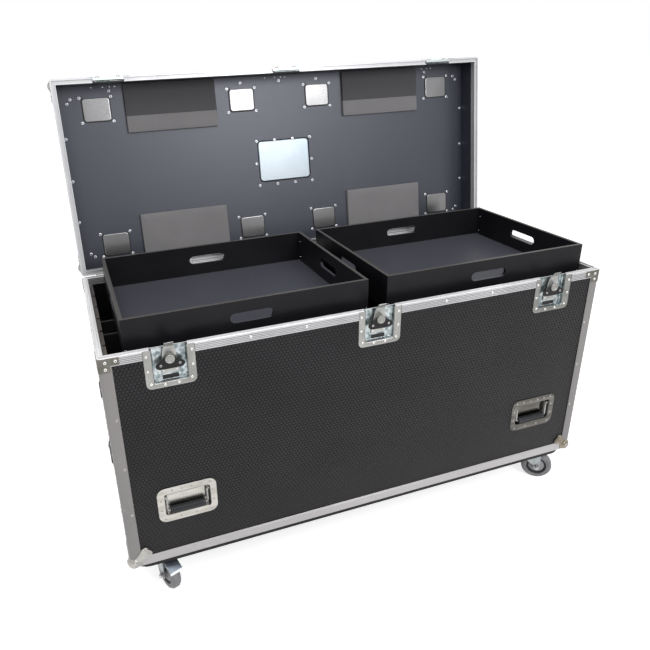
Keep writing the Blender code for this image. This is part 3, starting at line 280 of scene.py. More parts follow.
# Aluminium edge frame. Extruded angle runs round the case: a ribbed rail with a raised tongue round the rim,
# a plain rail round the foot and plain posts up the corners, cut back where the three latch dishes stand.
SHEET = 0.0015
EDGE_RADIUS = 0.009
TOP_RAIL = 0.024
BOTTOM_RAIL = 0.031
POST = 0.033
POST_GAP = 0.0002
INNER_RAIL = (0.0141, 0.0165, 0.022)
TONGUE = (0.0055, 0.0115, 0.004)
RIB_PITCH = 0.0046
RIB_DEPTH = 0.0013
INNER_RIB = 0.001
RAIL_SHEET = 0.0018
NOTCH_WIDTHS = (0.1316, 0.096)
LATCH_SPOTS = {"left": -0.5878, "middle": 0.0, "right": 0.5878}
CORNERS = {"front_left": (-1, -1), "front_right": (1, -1), "rear_left": (-1, 1), "rear_right": (1, 1)}
RAIL_LOW = TOP - TOP_RAIL
FOOT_HIGH = BOTTOM + BOTTOM_RAIL


def satin(name, light, dark, roughness, spread=0.12, stretch=(1.0, 1.0, 1.0), broad=6.0, scratch=0.25,
          metallic=1.0, gloss=0.5):
    """Metal or plastic whose colour, gloss and fine tooth vary over the surface."""
    material, tree, shader = new_material(name, roughness, metallic, gloss)
    marks = marks_on(tree, surface_place(tree, scale=stretch), broad, 500.0)
    colour = mixed(tree, marks["Broad"], dark, light)
    worn = tuple(min(1.0, part * 1.35 + 0.03) for part in light)
    rough = sums(tree, "MULTIPLY_ADD", marks["Fine"], spread, roughness - spread / 2)
    feed(shader, {"Base Color": mixed(tree, sums(tree, "MULTIPLY", marks["Scratch"], scratch), colour, worn),
                  "Roughness": sums(tree, "MULTIPLY_ADD", marks["Broad"], -spread / 2, rough)})
    bump(shader, marks["Fine"], 0.00004)
    return material


rail_aluminium = satin("rail_aluminium", (0.55, 0.545, 0.56), (0.48, 0.475, 0.49), 0.42, metallic=0.4, gloss=0.3)
post_aluminium = satin("post_aluminium", (0.235, 0.224, 0.222), (0.197, 0.188, 0.189), 0.42, stretch=(1, 1, 0.2),
                       metallic=0.5, gloss=0.3)
# Darker copy of the rail aluminium for painted shade in the rail grooves, and a near white copy for a painted highlight
# on the flat rim.
groove_painted_shade = satin("groove_painted_shade", (0.23, 0.228, 0.235), (0.18, 0.178, 0.185), 0.5, metallic=0.3, gloss=0.3)
rim_painted_highlight = satin("rim_painted_highlight", (0.88, 0.875, 0.88), (0.78, 0.775, 0.78), 0.35, metallic=0.3)
foot_aluminium = satin("foot_aluminium", (0.41, 0.397, 0.40), (0.352, 0.338, 0.343), 0.42, stretch=(0.2, 1, 1),
                       metallic=0.55, gloss=0.3)


def rounded(bm, width, height, radius, x=0.0, y=0.0, z=0.0):
    """Flat rounded rectangle about a point, as one face."""
    corners = bmesh.ops.create_grid(bm, x_segments=1, y_segments=1, size=0.5)["verts"]
    bmesh.ops.scale(bm, vec=(width, height, 1), verts=corners)
    bmesh.ops.translate(bm, vec=(x, y, z), verts=corners)
    made = bmesh.ops.bevel(bm, geom=corners, offset=radius, affect="VERTICES", segments=4, profile=0.5,
                           material=-1, offset_type="OFFSET")
    return made["verts"][0].link_faces[0]


def loft(rows, closed=False, first=True):
    """Skin through rows of rounded rectangles, joined into a ring or capped at its last row, and at its first too."""
    bm = bmesh.new()
    faces = [rounded(bm, *row[:5], number) for number, row in enumerate(rows)]
    outlines = [list(face.verts) for face in faces]
    loops = [list(face.edges) for face in faces]
    caps = [] if closed else [faces[-1]] + [faces[0]] * first
    bmesh.ops.delete(bm, geom=[face for face in faces if face not in caps], context="FACES_ONLY")
    for one, two in list(zip(loops, loops[1:])) + [(loops[-1], loops[0])] * closed:
        bmesh.ops.bridge_loops(bm, edges=one + two)
    for number, (row, outline) in enumerate(zip(rows, outlines)):
        bmesh.ops.translate(bm, vec=(0, 0, row[5] - number), verts=outline)
    bmesh.ops.recalc_face_normals(bm, faces=bm.faces)
    return bm


def edge_ring(profile):
    """Closed profile of (inset, height) led round the case."""
    return loft([(WIDTH - 2 * inset, DEPTH - 2 * inset, max(EDGE_RADIUS - inset, 0.0004), 0.0, MIDDLE, height)
                 for inset, height in profile], closed=True)


def new_mesh(name, bm, *materials):
    """Mesh of a finished bmesh."""
    mesh = bpy.data.meshes.new(name)
    bm.to_mesh(mesh)
    bm.free()
    for material in materials:
        mesh.materials.append(material)
    return mesh


def piece(name, bm, material, body, stands_for=(), place=None, bevel=0.0, segments=2, smooth=35):
    """Object of a finished bmesh, moved to its place, riding on a body, with its sharp edges rounded."""
    if place is not None:
        bmesh.ops.transform(bm, matrix=place, verts=bm.verts)
    mesh = new_mesh(name, bm, material)
    thing = new_object(name, mesh)
    mesh.shade_smooth()
    mesh.set_sharp_from_angle(angle=math.radians(smooth))
    for face in mesh.polygons:
        face.use_smooth = len(face.vertices) < 9
    if bevel:
        edges = thing.modifiers.new("edges", "BEVEL")
        edges.width = bevel
        edges.segments = segments
        edges.limit_method = "ANGLE"
        edges.angle_limit = math.radians(40)
        edges.harden_normals = True
    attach(thing, body)
    if stands_for:
        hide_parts(*stands_for)
    return thing


def carve(bm, cutters):
    """Takes closed shapes away from a bmesh and gives back the new one."""
    target = new_object("carved", new_mesh("carved", bm))
    helpers = [target]
    for cutter in cutters:
        helpers.append(new_object("cutter", new_mesh("cutter", cutter)))
        cut = target.modifiers.new("cut", "BOOLEAN")
        cut.operation = "DIFFERENCE"
        cut.solver = "EXACT"
        cut.object = helpers[-1]
    graph = bpy.context.evaluated_depsgraph_get()
    graph.update()
    mesh = bpy.data.meshes.new_from_object(target.evaluated_get(graph))
    carved = bmesh.new()
    carved.from_mesh(mesh)
    for spare in [helper.data for helper in helpers] + [mesh]:
        bpy.data.meshes.remove(spare)
    return carved


def block(x0, x1, y0, y1, z0, z1):
    """Plain block between two corners, for cutting."""
    bm = bmesh.new()
    bmesh.ops.create_cube(bm, size=1)
    bmesh.ops.scale(bm, vec=(x1 - x0, y1 - y0, z1 - z0), verts=bm.verts)
    bmesh.ops.translate(bm, vec=((x0 + x1) / 2, (y0 + y1) / 2, (z0 + z1) / 2), verts=bm.verts)
    return bm


def ribbed_face(base):
    """Profile of the ribs on the outer face of a rail, from the lower edge of its leg towards the rim."""
    points = []
    for rib in range(5):
        edge = base + rib * RIB_PITCH + 0.0004
        points += [(0.0, edge), (0.0, edge + 0.0025), (RIB_DEPTH, edge + 0.0029), (RIB_DEPTH, edge + 0.0042)]
    return points[1:-2]


def ribbed_inside(rim):
    """Profile of the ribbed inner leg of a rail, from the rim down."""
    inset, points = INNER_RAIL[1], []
    for rib in range(4):
        edge = rim - 0.0022 - rib * RIB_PITCH
        points += [(inset, edge), (inset - INNER_RIB, edge - 0.0005), (inset - INNER_RIB, edge - 0.0017),
                   (inset, edge - 0.0022)]
    return points


def plain_rail(base, groove=()):
    """Profile of a plain edge angle, with a groove where one is given, as drops from the top of its outer leg."""
    high = base + BOTTOM_RAIL
    return [(0.0008, base), (BOTTOM_RAIL, base), (BOTTOM_RAIL, base + SHEET), (SHEET, base + SHEET), (SHEET, high),
            (0.0004, high), (0.0, high - 0.0004)] + [(inset, high - drop) for inset, drop in groove] + [
            (0.0, base + 0.0008)]


def paint_rail_shade_and_highlight(thing, back, rim, flat):
    """Painted shade down in the grooves of a rail and a painted highlight on its flat rim, in the frame of the body."""
    for material in (groove_painted_shade, flat):
        thing.data.materials.append(material)
    for face in thing.data.polygons:
        spot, facing = back @ face.center, back.to_3x3() @ face.normal
        inset = min(SIDE - abs(spot.x), DEPTH / 2 - abs(spot.y))
        outer = RIB_DEPTH / 2 < inset < RIB_DEPTH + 0.0001
        inner = INNER_RAIL[1] - INNER_RIB - 0.0001 < inset < INNER_RAIL[1] - INNER_RIB / 3
        if facing.z > 0.9 and spot.z > rim - 0.002:
            face.material_index = 2
        elif facing.z < 0.9 and (outer or inner):
            face.material_index = 1


def notches(*cuts):
    """Cutters for the three latches: the wide flange and the deeper pan, each between two depths and two heights."""
    return [block(x - width / 2, x + width / 2, *cut) for x in LATCH_SPOTS.values()
            for width, cut in zip(NOTCH_WIDTHS, cuts)]


bm = edge_ring([(0.0, RAIL_LOW)] + ribbed_face(RAIL_LOW) + [
    (0.0, TOP - 0.0008), (0.0008, TOP), (TONGUE[0], TOP), (TONGUE[0] + 0.0004, TOP + TONGUE[2]),
    (TONGUE[1] - 0.0004, TOP + TONGUE[2]), (TONGUE[1], TOP), (INNER_RAIL[1], TOP),
] + ribbed_inside(TOP) + [
    (INNER_RAIL[1], TOP - INNER_RAIL[2]), (INNER_RAIL[0], TOP - INNER_RAIL[2]), (INNER_RAIL[0], TOP - SHEET),
    (RAIL_SHEET, TOP - SHEET), (RAIL_SHEET, RAIL_LOW),
])
bm = carve(bm, notches((FRONT - 0.02, FRONT + 0.0018, RAIL_LOW - 0.01, TOP + 0.002),
                       (FRONT - 0.02, FRONT + 0.0138, RAIL_LOW - 0.01, TOP + 0.012)))
rim_rail = piece("rim_rail", bm, rail_aluminium, "case", ["body_frame"], smooth=30)
paint_rail_shade_and_highlight(rim_rail, Matrix.Translation((0, -MIDDLE, 0)), TOP, rim_painted_highlight)

bm = edge_ring(plain_rail(BOTTOM, ((0.0, 0.004), (0.0004, 0.0044), (0.0004, 0.0049), (0.0, 0.0053))))
piece("foot_rail", bm, foot_aluminium, "case", smooth=30)


def corner_angle(reach, low, high, thickness, sx, sy, proud=0.0):
    """Bent sheet round one upright corner of the case."""
    bm = bmesh.new()
    x, y = sx * (SIDE + proud), MIDDLE + sy * (DEPTH / 2 + proud)
    line = [bm.verts.new(spot) for spot in ((x - sx * reach, y, low), (x, y, low), (x, y - sy * reach, low))]
    edges = [bm.edges.new(pair) for pair in zip(line, line[1:])]
    grown = bmesh.ops.extrude_edge_only(bm, edges=edges)["geom"]
    tops = [item for item in grown if isinstance(item, bmesh.types.BMVert)]
    bmesh.ops.translate(bm, vec=(0, 0, high - low), verts=tops)
    bend = [edge for edge in line[1].link_edges if edge.other_vert(line[1]) in tops]
    bmesh.ops.bevel(bm, geom=bend, offset=EDGE_RADIUS, affect="EDGES", segments=6, profile=0.5, material=-1)
    if sx * sy < 0:
        bmesh.ops.reverse_faces(bm, faces=bm.faces)
    bmesh.ops.solidify(bm, geom=bm.faces[:], thickness=thickness)
    bmesh.ops.recalc_face_normals(bm, faces=bm.faces)
    return bm


for corner, sides in CORNERS.items():
    bm = corner_angle(POST, FOOT_HIGH + POST_GAP, RAIL_LOW - POST_GAP, SHEET, *sides)
    piece("post_" + corner, bm, post_aluminium, "case", bevel=0.0003)


# Corner hardware and rivets of the body. Pressed ball corners close the foot of each post, bent braces tie
# the rim rail to the posts, and hollow rivets hold rails, posts and boards together.
BRACE_SHEET = 0.0012
BRACE_PARTS = ((0.0305, 0.0395, 0.0214), (0.0535, 0.0216, 0.0006))
BRACE_RIVETS = ((0.0185, 0.0115), (0.0435, 0.0105), (0.0175, 0.0295))
BALL = (0.0205, 0.0129)
LEAF = ((0.006, 0.026), (0.018, 0.034), (0.0295, 0.0475), (0.037, 0.0595), (0.0455, 0.0632), (0.0525, 0.0595),
        (0.053, 0.053), (0.0595, 0.0495), (0.0642, 0.0415), (0.0632, 0.0335), (0.057, 0.029), (0.044, 0.0265),
        (0.0365, 0.02), (0.0335, 0.003), (0.012, 0.003))
LEAF_RIVETS = ((0.0455, 0.0552), (0.0565, 0.0395))
LEAF_FACE = 0.0014
RIVET = (0.0043, 0.0015)
FLAT_RIVET = (0.0040, 0.0012)
BALL_RING = (0.0062, 0.002)
POST_LINE = 0.025
POST_HEIGHTS = (0.184, 0.337, 0.489)
FOOT_LINE = BOTTOM + 0.02
FOOT_SHARES = (0.121, 0.305, 0.495, 0.685, 0.875)
RAIL_LINE = TOP - 0.013
RAIL_SHARES = (0.254, 0.357, 0.639, 0.741)
END_SHARES = (0.2, 0.4, 0.6, 0.8)
brace_steel = satin("brace_steel", (0.165, 0.16, 0.138), (0.11, 0.107, 0.088), 0.4, broad=30.0, metallic=0.7)
ball_steel = satin("ball_steel", (0.38, 0.37, 0.35), (0.29, 0.28, 0.26), 0.44, broad=30.0)
# Darker copy of the ball steel, painted shade for the corners on the right.
ball_painted_shade = satin("ball_painted_shade", (0.26, 0.23, 0.18), (0.12, 0.105, 0.08), 0.3, broad=60.0)
rivet_steel = satin("rivet_steel", (0.78, 0.77, 0.76), (0.66, 0.65, 0.64), 0.25, broad=80.0)
rivet_dull = satin("rivet_dull", (0.46, 0.44, 0.45), (0.34, 0.32, 0.33), 0.3, broad=80.0)


def plane(origin, across, upright):
    """Frame with its X axis across, Y axis upright and Z axis outwards."""
    across, upright = Vector(across), Vector(upright)
    turn = Matrix((across, upright, across.cross(upright))).transposed().to_4x4()
    return Matrix.Translation(origin) @ turn


FRONT_FACE = plane((0, FRONT, 0), (1, 0, 0), (0, 0, 1))
BACK_FACE = plane((0, BACK, 0), (-1, 0, 0), (0, 0, 1))
LEFT_FACE = plane((-SIDE, 0, 0), (0, -1, 0), (0, 0, 1))
RIGHT_FACE = plane((SIDE, 0, 0), (0, 1, 0), (0, 0, 1))


def turned(profile, steps, closed=False):
    """Profile of (radius, height) turned about the Z axis."""
    bm = bmesh.new()
    spots = [bm.verts.new((radius, 0, height)) for radius, height in profile]
    pairs = list(zip(spots, spots[1:])) + [(spots[-1], spots[0])] * closed
    edges = [bm.edges.new(pair) for pair in pairs]
    bmesh.ops.spin(bm, geom=spots + edges, cent=(0, 0, 0), axis=(0, 0, 1), dvec=(0, 0, 0), angle=2 * math.pi,
                   steps=steps, use_merge=True, use_duplicate=False)
    bmesh.ops.remove_doubles(bm, verts=bm.verts, dist=0.00001)
    bmesh.ops.recalc_face_normals(bm, faces=bm.faces)
    return bm


def pushed(bm, face, move):
    """Extrudes one face by a step and gives back its new end."""
    grown = bmesh.ops.extrude_face_region(bm, geom=[face])["geom"]
    end = [item for item in grown if isinstance(item, bmesh.types.BMFace)][0]
    bmesh.ops.translate(bm, vec=move, verts=end.verts)
    return end


def plate(points, low, high):
    """Flat plate of any outline between two heights."""
    bm = bmesh.new()
    pushed(bm, bm.faces.new([bm.verts.new((x, y, low)) for x, y in points]), (0, 0, high - low))
    bmesh.ops.recalc_face_normals(bm, faces=bm.faces)
    return bm


def join(bm, part, place=Matrix()):
    """Adds one shape, moved to its place, to another."""
    bmesh.ops.transform(part, matrix=place, verts=part.verts)
    mesh = new_mesh("part", part)
    bm.from_mesh(mesh)
    bpy.data.meshes.remove(mesh)


def at(face, a, b, out=0.0):
    """Spot on a face."""
    return face @ Matrix.Translation((a, b, out))


rivet_mesh = new_mesh("rivet_head", turned([(0.0, -0.4), (1.0, -0.4), (1.0, 0.15), (0.86, 0.7), (0.62, 1.0),
                                            (0.44, 0.85), (0.38, -0.2), (0.0, -0.25)], 12))


def rivets(name, spots, body, size=RIVET, metal=rivet_steel):
    """Rivet heads of one radius and rise at spots whose Z axis points outwards."""
    bm = bmesh.new()
    for spot in spots:
        count = len(bm.verts)
        bm.from_mesh(rivet_mesh)
        head = spot @ Matrix.Diagonal((size[0], size[0], size[1], 1))
        bmesh.ops.transform(bm, matrix=head, verts=bm.verts[count:])
    return piece(name, bm, metal, body, smooth=50)


spots, rail_spots = [], []
for height in POST_HEIGHTS:
    for x in (POST_LINE - SIDE, SIDE - POST_LINE):
        spots += [at(FRONT_FACE, x, BOTTOM + height), at(BACK_FACE, x, BOTTOM + height)]
    for y in (FRONT + POST_LINE, BACK - POST_LINE):
        spots += [at(LEFT_FACE, -y, BOTTOM + height), at(RIGHT_FACE, y, BOTTOM + height)]
for share in FOOT_SHARES:
    x = (share - 0.5) * WIDTH
    spots += [at(FRONT_FACE, x, FOOT_LINE), at(BACK_FACE, x, FOOT_LINE)]
for share in RAIL_SHARES:
    x = (share - 0.5) * WIDTH
    rail_spots += [at(FRONT_FACE, x, RAIL_LINE, -0.0003), at(BACK_FACE, x, RAIL_LINE, -0.0003)]
for share in END_SHARES:
    y = FRONT + share * DEPTH
    spots += [at(LEFT_FACE, -y, FOOT_LINE), at(RIGHT_FACE, y, FOOT_LINE)]
    rail_spots += [at(LEFT_FACE, -y, RAIL_LINE, -0.0003), at(RIGHT_FACE, y, RAIL_LINE, -0.0003)]
rivets("body_rivets", spots, "case", FLAT_RIVET, rivet_dull)
rivets("rail_rivets", rail_spots, "case")


def corner_faces(sx, sy):
    """Both upright faces at a corner, each with its half width, its middle and the side the corner is on."""
    return ((FRONT_FACE if sy < 0 else BACK_FACE, SIDE, 0.0, -sx * sy),
            (LEFT_FACE if sx < 0 else RIGHT_FACE, DEPTH / 2, sx * MIDDLE, sx * sy))


def ball_corner(corner, sx, sy, base, into, body, prefix):
    """Pressed ball round one outer corner with a two-lobed leaf and its rivets on each upright face."""
    # Corners on the right take a darker copy of the ball steel, as painted shade.
    metal = ball_steel if sx < 0 else ball_painted_shade
    bm = bmesh.new()
    bmesh.ops.create_uvsphere(bm, u_segments=28, v_segments=18, radius=BALL[0])
    centre = (sx * (SIDE - BALL[1]), MIDDLE + sy * (DEPTH / 2 - BALL[1]), base + BALL[1])
    bmesh.ops.translate(bm, vec=centre, verts=bm.verts)
    bm = carve(bm, [block(-SIDE + SHEET, SIDE - SHEET, FRONT + SHEET, BACK - SHEET, base + SHEET, base + 0.06)])
    piece(prefix + "ball_corner_" + corner, bm, metal, body, place=into, bevel=0.0003)
    leaves, spots, rings = bmesh.new(), [], []
    for face, end, middle, sign in corner_faces(sx, sy):
        join(leaves, plate([(middle + sign * (end - u), base + v) for u, v in LEAF], 0.0002, 0.0016), into @ face)
        spots += [into @ at(face, middle + sign * (end - u), base + v, LEAF_FACE) for u, v in LEAF_RIVETS]
        rings.append(into @ at(face, middle + sign * (end - BALL[1]), base + BALL[1] + 0.003,
                               BALL[0] - BALL[1] - 0.0014))
    piece(prefix + "ball_leaf_" + corner, leaves, metal, body, bevel=0.0004)
    rivets(prefix + "ball_rivets_" + corner, spots, body, FLAT_RIVET, metal)
    rivets(prefix + "ball_rings_" + corner, rings, body, BALL_RING, rivet_dull)


spots = []
for corner, (sx, sy) in CORNERS.items():
    lower, upper = (corner_angle(reach, TOP - low, TOP - high, BRACE_SHEET, sx, sy, BRACE_SHEET)
                    for reach, low, high in BRACE_PARTS)
    join(lower, upper)
    piece("top_brace_" + corner, lower, brace_steel, "case", bevel=0.0004)
    spots += [at(face, middle + sign * (end - inset), TOP - drop, BRACE_SHEET)
              for inset, drop in BRACE_RIVETS for face, end, middle, sign in corner_faces(sx, sy)]
    ball_corner(corner, sx, sy, BOTTOM, Matrix(), "case", "")
rivets("corner_rivets", spots, "case")


# Inside boards. The floor board with the black skid board under it, two end liners grooved for dividers
# and two loose dividers standing in their grooves, all of ply painted matt black.
BARE_PLY = (0.1, 0.092, 0.085)


def painted_board(name, paint, worn_above=None):
    """Matt black paint on ply, scuffed, and worn through along its top edge where a height is given."""
    material, tree, shader = new_material(name, 0.5, gloss=0.2)
    place = surface_place(tree)
    marks = marks_on(tree, place, 9.0, 260.0)
    colour = mixed(tree, marks["Broad"], tuple(part * 0.75 for part in paint), paint)
    colour = mixed(tree, sums(tree, "MULTIPLY", marks["Scratch"], 0.25), colour, BARE_PLY)
    if worn_above:
        height = add_node(tree, "ShaderNodeSeparateXYZ", {0: place}).outputs[2]
        ragged = sums(tree, "MULTIPLY_ADD", marks["Fine"], 0.0012, height)
        colour = mixed(tree, smooth_range(tree, ragged, worn_above, worn_above + 0.0006), colour, BARE_PLY)
    feed(shader, {"Base Color": colour, "Roughness": sums(tree, "MULTIPLY_ADD", marks["Fine"], 0.2, 0.4)})
    bump(shader, marks["Fine"], 0.00012)
    return material


dress("base_board", painted_board("skid_paint", (0.008, 0.008, 0.010)))
liner_paint = painted_board("liner_paint", (0.017, 0.017, 0.018), worn_above=TOP - 0.0245)
for name in ("liner_left", "liner_right", "divider_front", "divider_rear"):
    dress(name, liner_paint)


# Lift-out trays. Two open boxes of thin ply painted black, their upper edges rubbed bare grey, each wall
# with a stadium-shaped hand slot, the corners held by small screws.
TRAY = (0.68, 0.515, 0.106)
TRAY_WALL = 0.0095
TRAY_FLOOR = 0.007
TRAY_TOP = 0.8875
TRAY_LOW = TRAY_TOP - TRAY[2]
HAND_SLOT = (0.12, 0.027, 0.0475)
TRAY_SPOTS = {"tray_left": -0.3543, "tray_right": 0.3843}
TRAY_SCREW = (0.0024, 0.0008)
QUARTER = {axis: Matrix.Rotation(math.pi / 2, 4, axis) for axis in "XYZ"}

tray_paint, tree, shader = new_material("tray_paint", 0.38, gloss=0.17)
place = surface_place(tree)
marks = marks_on(tree, place, 7.0, 300.0)
height = add_node(tree, "ShaderNodeSeparateXYZ", {0: place}).outputs[2]
normal = add_node(tree, "ShaderNodeNewGeometry").outputs["Normal"]
upwards = smooth_range(tree, add_node(tree, "ShaderNodeSeparateXYZ", {0: normal}).outputs[2], 0.6, 0.9)
# Upward faces low in the tray, the floors, are painted lighter and bluer as a painted sheen.
floor_painted_sheen = sums(tree, "MULTIPLY", upwards, smooth_range(tree, height, TRAY_TOP - 0.03, TRAY_TOP - 0.05))
ragged = sums(tree, "MULTIPLY_ADD", marks["Fine"], 0.001, height)
colour = mixed(tree, marks["Broad"], (0.0052, 0.0052, 0.0068), (0.0082, 0.0082, 0.0098))
colour = mixed(tree, floor_painted_sheen, colour, (0.054, 0.056, 0.068))
colour = mixed(tree, smooth_range(tree, ragged, TRAY_TOP - 0.0001, TRAY_TOP + 0.0006), colour, (0.075, 0.071, 0.068))
feed(shader, {"Base Color": colour, "Roughness": sums(tree, "MULTIPLY_ADD", marks["Fine"], 0.2, 0.3)})
bump(shader, marks["Fine"], 0.00008)


def stadium_bar(length, turn, place):
    """Long bar of stadium section for cutting the hand slots."""
    size = (HAND_SLOT[0], HAND_SLOT[1], HAND_SLOT[1] / 2 - 0.0001, 0, 0)
    bm = loft([(*size, -length / 2), (*size, length / 2)])
    bmesh.ops.transform(bm, matrix=Matrix.Translation(place) @ turn, verts=bm.verts)
    return bm


for name, x in TRAY_SPOTS.items():
    half_w, half_d = TRAY[0] / 2, TRAY[1] / 2
    box = block(x - half_w, x + half_w, MIDDLE - half_d, MIDDLE + half_d, TRAY_LOW, TRAY_TOP)
    inner = block(x - half_w + TRAY_WALL, x + half_w - TRAY_WALL, MIDDLE - half_d + TRAY_WALL,
                  MIDDLE + half_d - TRAY_WALL, TRAY_LOW + TRAY_FLOOR, TRAY_TOP + 0.02)
    slot = (x, MIDDLE, TRAY_TOP - HAND_SLOT[2])
    through_y = stadium_bar(TRAY[1] + 0.05, QUARTER["X"], slot)
    through_x = stadium_bar(TRAY[0] + 0.05, QUARTER["Z"] @ QUARTER["X"], slot)
    piece(name + "_box", carve(box, [inner, through_y, through_x]), tray_paint, name, [name], bevel=0.0006)
    spots = []
    for sx in (-1, 1):
        inside = plane((x + sx * (half_w - TRAY_WALL), 0, 0), (0, -sx, 0), (0, 0, 1))
        for sy in (-1, 1):
            outer = plane((0, MIDDLE + sy * half_d, 0), (-sy, 0, 0), (0, 0, 1))
            spots.append(at(outer, -sy * (x + sx * (half_w - 0.005)), TRAY_LOW + 0.02))
            for height in (TRAY_LOW + 0.02, TRAY_TOP - 0.03):
                spots.append(at(inside, -sx * (MIDDLE + sy * (half_d - TRAY_WALL - 0.012)), height))
    rivets(name + "_screws", spots, name, TRAY_SCREW)


# Twist latches. Each is a pressed dish let into the front at the rim, a sliding hook plate that stands over
# the rim, and a black wing turning on a stud to draw the hook down.
FLUSH = -0.0003
PRESSED = 0.0012
LATCH_DISH = (0.13, 0.1095)
LATCH_PAN = (0.088, 0.0143)
PAN_ROWS = ((0.0062, 0.0091, FLUSH), (0.0024, 0.0072, FLUSH - 0.0013), (0.0, 0.006, FLUSH - 0.003),
            (-0.0008, 0.0056, FLUSH - 0.0085), (-0.003, 0.0045, FLUSH - 0.0112), (-0.007, 0.003, FLUSH - 0.012))
LATCH_SLOT = (0.042, 0.0115, 0.002, 0, -0.0865, -0.0118)
LATCH_RIVETS = ((0.0575, 0.0165), (0.0575, 0.058), (0.0522, 0.0945), (0.0178, 0.1015))
DISH_RIVET = (0.0038, 0.0014)
AXIS_DROP = 0.03
HOOK_ROWS = ((0.0225, -0.0755, -0.0098), (0.0225, -0.051, -0.0096), (0.0205, -0.0465, -0.009),
             (0.0195, -0.036, -0.0042), (0.0185, -0.024, -0.0034), (0.0152, -0.0045, -0.0026),
             (0.0142, -0.0006, -0.0001), (0.0133, 0.0035, 0.0), (0.0125, 0.0075, 0.0036),
             (0.0117, 0.0165, 0.0096), (0.0117, 0.018, 0.012))
WING_HALF = ((0.008, 0.003), (0.013, 0.0025), (0.0345, -0.0103), (0.0375, -0.0143), (0.0372, -0.019),
             (0.034, -0.0235), (0.028, -0.0262), (0.012, -0.027))
WING_LEVELS = (0.0006, 0.0046)
WING_RIVET = (0.0036, 0.0012)
WING_RIVETS = ((-0.0243, -0.0152), (0.0243, -0.0152))
HOOK_STUDS = ((-0.017, -0.067, -0.0091), (0.017, -0.067, -0.0091))
PAN_EDGE = -0.0028
BOSS = ((0, -0.0018), (0.0085, -0.0018), (0.0085, 0.0047), (0.0125, 0.0047), (0.0125, 0.0062), (0.0113, 0.0074),
        (0.0078, 0.0078), (0.0066, 0.0068), (0.0, 0.0068))
dish_steel = satin("dish_steel", (0.34, 0.337, 0.325), (0.25, 0.248, 0.238), 0.32, broad=22.0, metallic=0.6)
pan_steel = satin("pan_steel", (0.50, 0.54, 0.555), (0.13, 0.17, 0.18), 0.34, broad=90.0, metallic=0.85)
# Darker copy of the dish steel, painted shade for the right latch.
dish_painted_shade = satin("dish_painted_shade", (0.235, 0.235, 0.225), (0.165, 0.165, 0.155), 0.32, broad=22.0, metallic=0.6)
hook_steel = satin("hook_steel", (0.41, 0.415, 0.40), (0.31, 0.315, 0.30), 0.36, broad=30.0, metallic=0.6)
wing_plastic = satin("wing_plastic", (0.008, 0.008, 0.008), (0.005, 0.005, 0.005), 0.42, metallic=0.0, scratch=0.05,
                     gloss=0.25)
# Near black for painted shade: thin sheets laid where slots, gaps and hollows show only shade.
painted_shade_black = satin("painted_shade_black", (0.006, 0.006, 0.006), (0.004, 0.004, 0.004), 0.7, metallic=0.0, scratch=0.0)


def thicken(bm, thickness):
    """Gives a pressed sheet its thickness behind its outer face."""
    if sum(face.normal.z * face.calc_area() for face in bm.faces) < 0:
        bmesh.ops.reverse_faces(bm, faces=bm.faces)
    bmesh.ops.solidify(bm, geom=bm.faces[:], thickness=thickness)
    bmesh.ops.recalc_face_normals(bm, faces=bm.faces)
    return bm


def bent_strip(rows, thickness):
    """Sheet strip through rows of (half width, height, level), given its thickness."""
    bm = bmesh.new()
    half, height, level = rows[0]
    edge = bm.edges.new([bm.verts.new((-half, height, level)), bm.verts.new((half, height, level))])
    for half, height, level in rows[1:]:
        grown = bmesh.ops.extrude_edge_only(bm, edges=[edge])["geom"]
        edge = [item for item in grown if isinstance(item, bmesh.types.BMEdge)][0]
        for vert in edge.verts:
            vert.co = (math.copysign(half, vert.co.x), height, level)
    return thicken(bm, thickness)


def latch_dish(height):
    """Pressed dish, open at the rim, which is at the height zero."""
    wide, deep = LATCH_PAN[0], 2 * (height - LATCH_PAN[1])
    bm = loft([(LATCH_DISH[0], 2 * height, 0.014, 0, 0, FLUSH)]
              + [(wide + grow, deep + grow, radius, 0, 0, level) for grow, radius, level in PAN_ROWS], first=False)
    bmesh.ops.bisect_plane(bm, geom=bm.verts[:] + bm.edges[:] + bm.faces[:], dist=0.00001, plane_co=(0, -0.0006, 0),
                           plane_no=(0, 1, 0), clear_outer=True)
    return thicken(bm, PRESSED)


